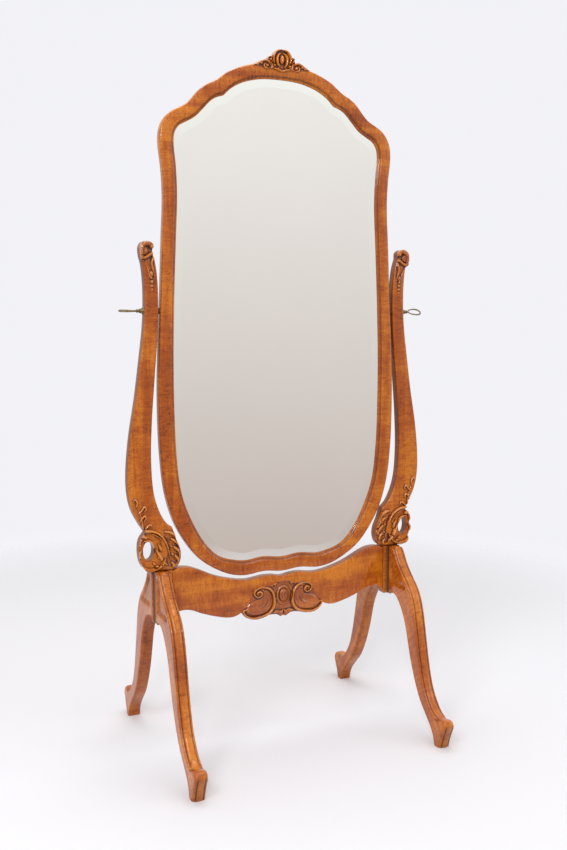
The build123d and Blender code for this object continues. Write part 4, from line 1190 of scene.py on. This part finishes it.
# %% Knee carving
KNEE_FIELD = [(390, 603), (404, 583), (407.5, 550), (402, 518), (387, 499), (350, 498.5),
              (318, 498.5), (303, 506), (295.5, 523), (296, 550), (307, 578), (317, 607),
              (330, 612),
              (346, 618), (362, 636), (382, 668), (404, 690), (420, 698), (424.5, 680), (420, 660),
              (405, 629)]
KNEE_STROKES = [
    ("lobe", [(340, 606), (324, 600), (307, 578), (298, 550), (302, 522), (318, 506), (338, 512),
              (330, 548), (338, 580)], 14, 3.0),
    ("ridge", [(390, 590), (398, 595), (396, 604), (380, 606), (361, 600), (346, 588), (335, 570),
               (328, 548), (323, 524)], 5.4, 13.0, "end"),
    ("ridge", [(396, 580), (384, 581), (372, 574), (366, 560)], 4.0, 8.0),
    ("ridge", [(358, 572), (351, 558), (352, 541), (361, 529)], 4.0, 11.0),
    ("ridge", [(409, 534), (402, 515), (384, 504), (362, 505), (345, 515), (336, 532)], 5.0, 12.5),
    ("ridge", [(362, 556), (353, 538), (343, 522), (332, 511)], 5.5, 13.5),
    ("ridge", [(374, 599), (360, 590), (350, 578), (346, 564)], 3.6, 12.0),
    ("ridge", [(372, 524), (364, 514), (352, 506)], 4.5, 12.0),
    ("ridge", [(396, 590), (406, 579), (403, 566)], 3.8, 9.5),
    ("ridge", [(401, 557), (407, 546), (402, 535)], 3.8, 9.5),
    ("ridge", [(340, 600), (325, 598), (311, 588), (308, 576)], 4.8, 9.6),
    ("ridge", [(330, 583), (315, 577), (303, 564), (300, 552)], 4.8, 9.4),
    ("ridge", [(325, 562), (311, 556), (300, 543), (300, 531)], 4.8, 9.0),
    ("ridge", [(322, 541), (311, 535), (304, 524), (307, 513)], 4.6, 8.6),
    ("ridge", [(322, 520), (316, 512), (318, 503)], 4.2, 8.0),
    ("ridge", [(396, 600), (397, 622), (402, 648), (411, 672), (420, 686)], 3.0, 7.6, "end"),
    ("ridge", [(405, 628), (398, 641), (391, 646), (388, 638), (394, 633)], 3.4, 7.4),
    ("ridge", [(410, 652), (400, 660), (391, 670), (387, 663), (393, 657)], 3.4, 7.4),
    ("ridge", [(414, 668), (410, 682), (416, 691), (421, 685)], 3.2, 7.0),
    ("ridge", [(392, 606), (385, 618), (376, 622), (372, 614)], 3.6, 7.4),
    ("groove", [(376, 596), (359, 588), (347, 573), (341, 552), (343, 532), (353, 516)], 3.2, 9.0),
    ("groove", [(346, 604), (330, 592), (321, 572), (315, 548), (314, 522)], 1.8, 5.0),
    ("groove", [(338, 592), (318, 589), (306, 570)], 1.5, 4.5),
    ("groove", [(328, 572), (308, 566), (299, 545)], 1.5, 4.5),
    ("groove", [(323, 551), (305, 545), (300, 524)], 1.5, 4.5),
    ("groove", [(321, 530), (308, 524), (306, 508)], 1.5, 4.5),
    ("groove", [(398, 509), (380, 505), (360, 508), (345, 521)], 1.2, 3.4),
    ("groove", [(394, 574), (380, 574), (371, 563), (370, 548), (376, 534)], 1.6, 6.0),
    ("groove", [(400, 523), (382, 514), (364, 516), (352, 528)], 2.0, 7.0),
    ("groove", [(367, 545), (361, 531), (352, 518), (342, 508)], 2.2, 8.0),
    ("groove", [(354, 556), (345, 541), (336, 528)], 2.0, 8.0),
    ("groove", [(394, 521), (402, 524), (410, 522)], 2.0, 6.0),
    ("groove", [(396, 560), (402, 560), (410, 560)], 2.0, 6.0),
    ("groove", [(394, 589), (400, 588), (410, 587)], 2.0, 6.0)]
knee_loops = [inset(counter(smooth(KNEE_FIELD + KNEE_FIELD[:1], 2)[:-1]), 0.8), HOLE_LOOP]
points, faces, hollow = relief(knee_loops, -BOARD_HALF + 0.6, -BOARD_HALF + 3, KNEE_STROKES,
                               0.5, 1.4)
make_pair("knee_carving", points, faces, CARVED_MAPLE, hollow)

# %% Scroll carving
SCROLL_FIELD = [(359.5, 1318), (357.5, 1327), (358, 1335), (364, 1341.5), (374, 1344),
                (384, 1341.5),
                (390, 1333), (391, 1322), (390, 1308), (388, 1298), (380, 1292), (372, 1272),
                (368, 1250), (365, 1232), (361, 1217), (357.5, 1232), (355, 1250), (350.5, 1272),
                (352.5, 1292), (357, 1306)]
SCROLL_STROKES = [
    ("oval", [(381, 1320), (11, 13)], 0.9, 7.5),
    ("ridge", [(388, 1306), (388, 1322), (384, 1333), (375, 1338), (366, 1337), (361, 1332)], 6.5,
     11.0, "even"),
    ("oval", [(361.5, 1331), (5.6, 6.2)], 1.0, 12.5),
    ("groove", [(378, 1330), (371, 1328), (368, 1320), (370, 1312)], 3.4, 9.0),
    ("groove", [(356, 1323), (363, 1322), (368, 1318)], 2.2, 6.0),
    ("ridge", [(392, 1302), (378, 1303), (366, 1310), (358, 1315)], 4.4, 8.6, "even"),
    ("groove", [(391, 1308.5), (378, 1309), (370, 1315)], 1.5, 4.5, "even"),
    ("ridge", [(356, 1303), (361, 1290), (357, 1270), (353, 1252)], 4.6, 7.6, "end"),
    ("ridge", [(384, 1296), (377, 1284), (371, 1270), (367, 1256)], 4.2, 5.4),
    ("oval", [(363, 1262), (6, 8.5)], 1.0, 8.2),
    ("ridge", [(370, 1266), (366, 1256), (360, 1249)], 3.4, 6.4),
    ("oval", [(361.5, 1243), (4.8, 5.0)], 1.0, 6.4),
    ("oval", [(361.5, 1232.5), (4, 4.6)], 1.0, 5.4),
    ("oval", [(361.2, 1223.5), (3.2, 4)], 1.0, 4.4),
    ("groove", [(372, 1297), (367, 1283), (363, 1274)], 1.7, 4.0)]
scroll_loop = counter(smooth(SCROLL_FIELD + SCROLL_FIELD[:1], 1.6)[:-1])
points, faces, hollow = relief([scroll_loop], -BOARD_HALF + 0.5, -BOARD_HALF + 3,
                               SCROLL_STROKES, 0.7, 1.1)
make_pair("scroll_carving", points, faces, CARVED_MAPLE, hollow)

# %% [markdown]
# ## Thumbscrews
# Each screw has a turned shank with two small collars and ends in a flat ring for a finger. The
# turned parts are profiles spun about the tilting axis. The ring is a wire swept round an oval, a
# little thinner where it leaves the shank.

# %% Thumbscrews
def spun(profile, count=28):
    """Points and faces of a turned part, from (x, radius) on the tilting axis."""
    rings = []
    for x, r in profile:
        turn = np.linspace(0, 2 * math.pi, count, endpoint=False)
        rings.append(np.column_stack([np.full(count, x), r * np.cos(turn),
                                      PIVOT + r * np.sin(turn)]))
    return np.vstack(rings), tube_faces(len(profile), count)


def rounded(profile, step=0.7):
    """A turned profile with its corners softened."""
    return [tuple(p) for p in smooth(profile, step)]


RING_START, RING_LENGTH, RING_WIDTH, RING_WIRE = 401.0, 44.0, 28.0, 4.0
RING_EGG, RING_SLIM, WIRE_EASE = 0.16, 0.12, 0.06   # wider, and thicker, at the far end
SCREW_PROFILE = [(321, 0.4), (321.4, 2.9), (345.9, 3.0), (346, 4.0), (389.7, 4.0)]
SCREW_HEAD = [(389.8, 4.0), (390.2, 5.3), (391.4, 5.6), (392.4, 4.9), (393.2, 3.6), (394.8, 3.1),
              (396, 4.2), (397.2, 4.9), (398.4, 4.4), (399.4, 3.1), (401, 2.6), (403.2, 2.6),
              (403.8, 0.4)]
ESCUTCHEON = [(379.6, 9.2), (380, 9.9), (381.2, 10), (382.6, 9.3), (384.2, 7.6), (386, 6.5),
              (388, 6.0), (389.3, 5.6), (389.5, 4.3)]


def finger_ring(tilt, count=64, sides=14):
    """The oval wire ring, turned about the axis by tilt degrees."""
    half_long, half_wide = (RING_LENGTH - RING_WIRE) / 2, (RING_WIDTH - RING_WIRE) / 2

    def side_of(a):
        return half_wide * (math.sin(a) * (1 + RING_EGG * math.cos(a)))

    rows = []
    for k in range(count):
        a = 2 * math.pi * k / count
        ahead_a = a + 0.01
        centre = np.array([RING_START + RING_LENGTH / 2 + half_long * math.cos(a), side_of(a), 0])
        beside = np.array([half_long * (math.cos(ahead_a) - math.cos(a)),
                           side_of(ahead_a) - side_of(a), 0])
        out = np.cross(beside / np.linalg.norm(beside), (0, 0, 1))
        radius = RING_WIRE / 2 * (1 + RING_SLIM * math.cos(a) - WIRE_EASE)
        for j in range(sides):
            b = 2 * math.pi * j / sides
            rise = np.array([0, 0, radius * math.sin(b)])
            rows.append(centre + out * radius * math.cos(b) + rise)
    rows = np.array(rows)
    lean = math.radians(tilt)
    y, z = rows[:, 1].copy(), rows[:, 2].copy()
    rows[:, 1] = y * math.cos(lean) - z * math.sin(lean)
    rows[:, 2] = y * math.sin(lean) + z * math.cos(lean) + PIVOT
    faces = []
    for k in range(count):
        for j in range(sides):
            a, b = k * sides + j, k * sides + (j + 1) % sides
            c, d = (b + sides) % (count * sides), (a + sides) % (count * sides)
            faces.append((a, b, c, d))
    return rows, faces


def together(*parts):
    """Several sets of points and faces as one."""
    points, faces, first = [], [], 0
    for some, their in parts:
        points.append(some)
        faces += [tuple(i + first for i in f) for f in their]
        first += len(some)
    return np.vstack(points), faces


for side, tilt in (("right", 40), ("left", 8)):
    screw = together(spun(SCREW_PROFILE), spun(rounded(SCREW_HEAD)), finger_ring(tilt))
    plate = spun(rounded(ESCUTCHEON, 0.5) + [(382, 4.3)], 40)
    if side == "left":
        screw, plate = (flip(screw[0]), screw[1]), (flip(plate[0]), plate[1])
    make_piece(f"{side}_thumbscrew", *screw, BRASS, f"{side}_thumbscrew",
               slot="aged_brass", sharp=60)
    make_piece(f"{side}_escutcheon", *plate, BRASS, "stand",
               slot="aged_brass", sharp=50)

# %% [markdown]
# ## Hidden and plain parts
# The back board, the blocks behind the glass, the tongues, dowels, screws and washers are right as
# the CAD model has them. They keep their meshes and only get a finish. These meshes carry no grain
# of their own, so the fibre of their softwood or beech is a noise in the part's own position,
# stretched one way.

# %% Finishes of the CAD parts
def plain_wood(name, light, dark, along):
    """Unpolished softwood or beech for parts that carry no grain attribute."""
    paint = bpy.data.materials.new(name)
    paint.use_nodes = True
    tree = paint.node_tree
    shader = tree.nodes["Principled BSDF"]
    place = put(tree, "ShaderNodeTexCoord")
    long_way = put(tree, "ShaderNodeVectorMath", {0: place.outputs["Object"]}, operation="MULTIPLY")
    long_way.inputs[1].default_value = along
    rings = put(tree, "ShaderNodeTexNoise", {0: long_way.outputs[0]}, in_2=1.0, in_3=6.0, in_4=0.6,
                in_8=0.6)
    spread = put(tree, "ShaderNodeMapRange", {0: rings.outputs[0]}, in_1=0.35, in_2=0.65)
    tint = put(tree, "ShaderNodeMix", {0: spread.outputs[0]}, data_type="RGBA", in_6=dark,
               in_7=light)
    rough = put(tree, "ShaderNodeMapRange", {0: rings.outputs[0]}, in_3=0.7, in_4=0.5)
    surface = put(tree, "ShaderNodeBump", {"Height": rings.outputs[0]})
    surface.inputs["Distance"].default_value = 0.0004
    tree.links.new(tint.outputs[2], shader.inputs["Base Color"])
    tree.links.new(rough.outputs[0], shader.inputs["Roughness"])
    tree.links.new(surface.outputs["Normal"], shader.inputs["Normal"])
    return paint


BOARD_PINE = plain_wood("board_pine", rgb(196, 158, 104), rgb(150, 108, 62), (40, 40, 2.5))
PART_BEECH = plain_wood("part_beech", rgb(204, 166, 124), rgb(160, 118, 82), (160, 160, 12))
CAD_FINISH = {
    "back_board": BOARD_PINE, "glass_blocks": BOARD_PINE, "frame_tongues": PART_BEECH,
    "cross_rail_tenons": PART_BEECH, "leg_dowels": PART_BEECH, "upright_dowels": PART_BEECH,
    "back_board_screws": STEEL, "pivot_plate_screws": STEEL, "left_pivot_plate": BRASS,
    "right_pivot_plate": BRASS, "left_bushing": BRASS, "right_bushing": BRASS,
    "left_friction_washer": LEATHER, "right_friction_washer": LEATHER}
for node_name, finish in CAD_FINISH.items():
    solid = bpy.data.objects[node_name]
    if not solid.material_slots:
        solid.data.materials.append(finish)
    for held in solid.material_slots:
        held.link = "OBJECT"
        held.material = finish
print("CAD parts finished:", len(CAD_FINISH))
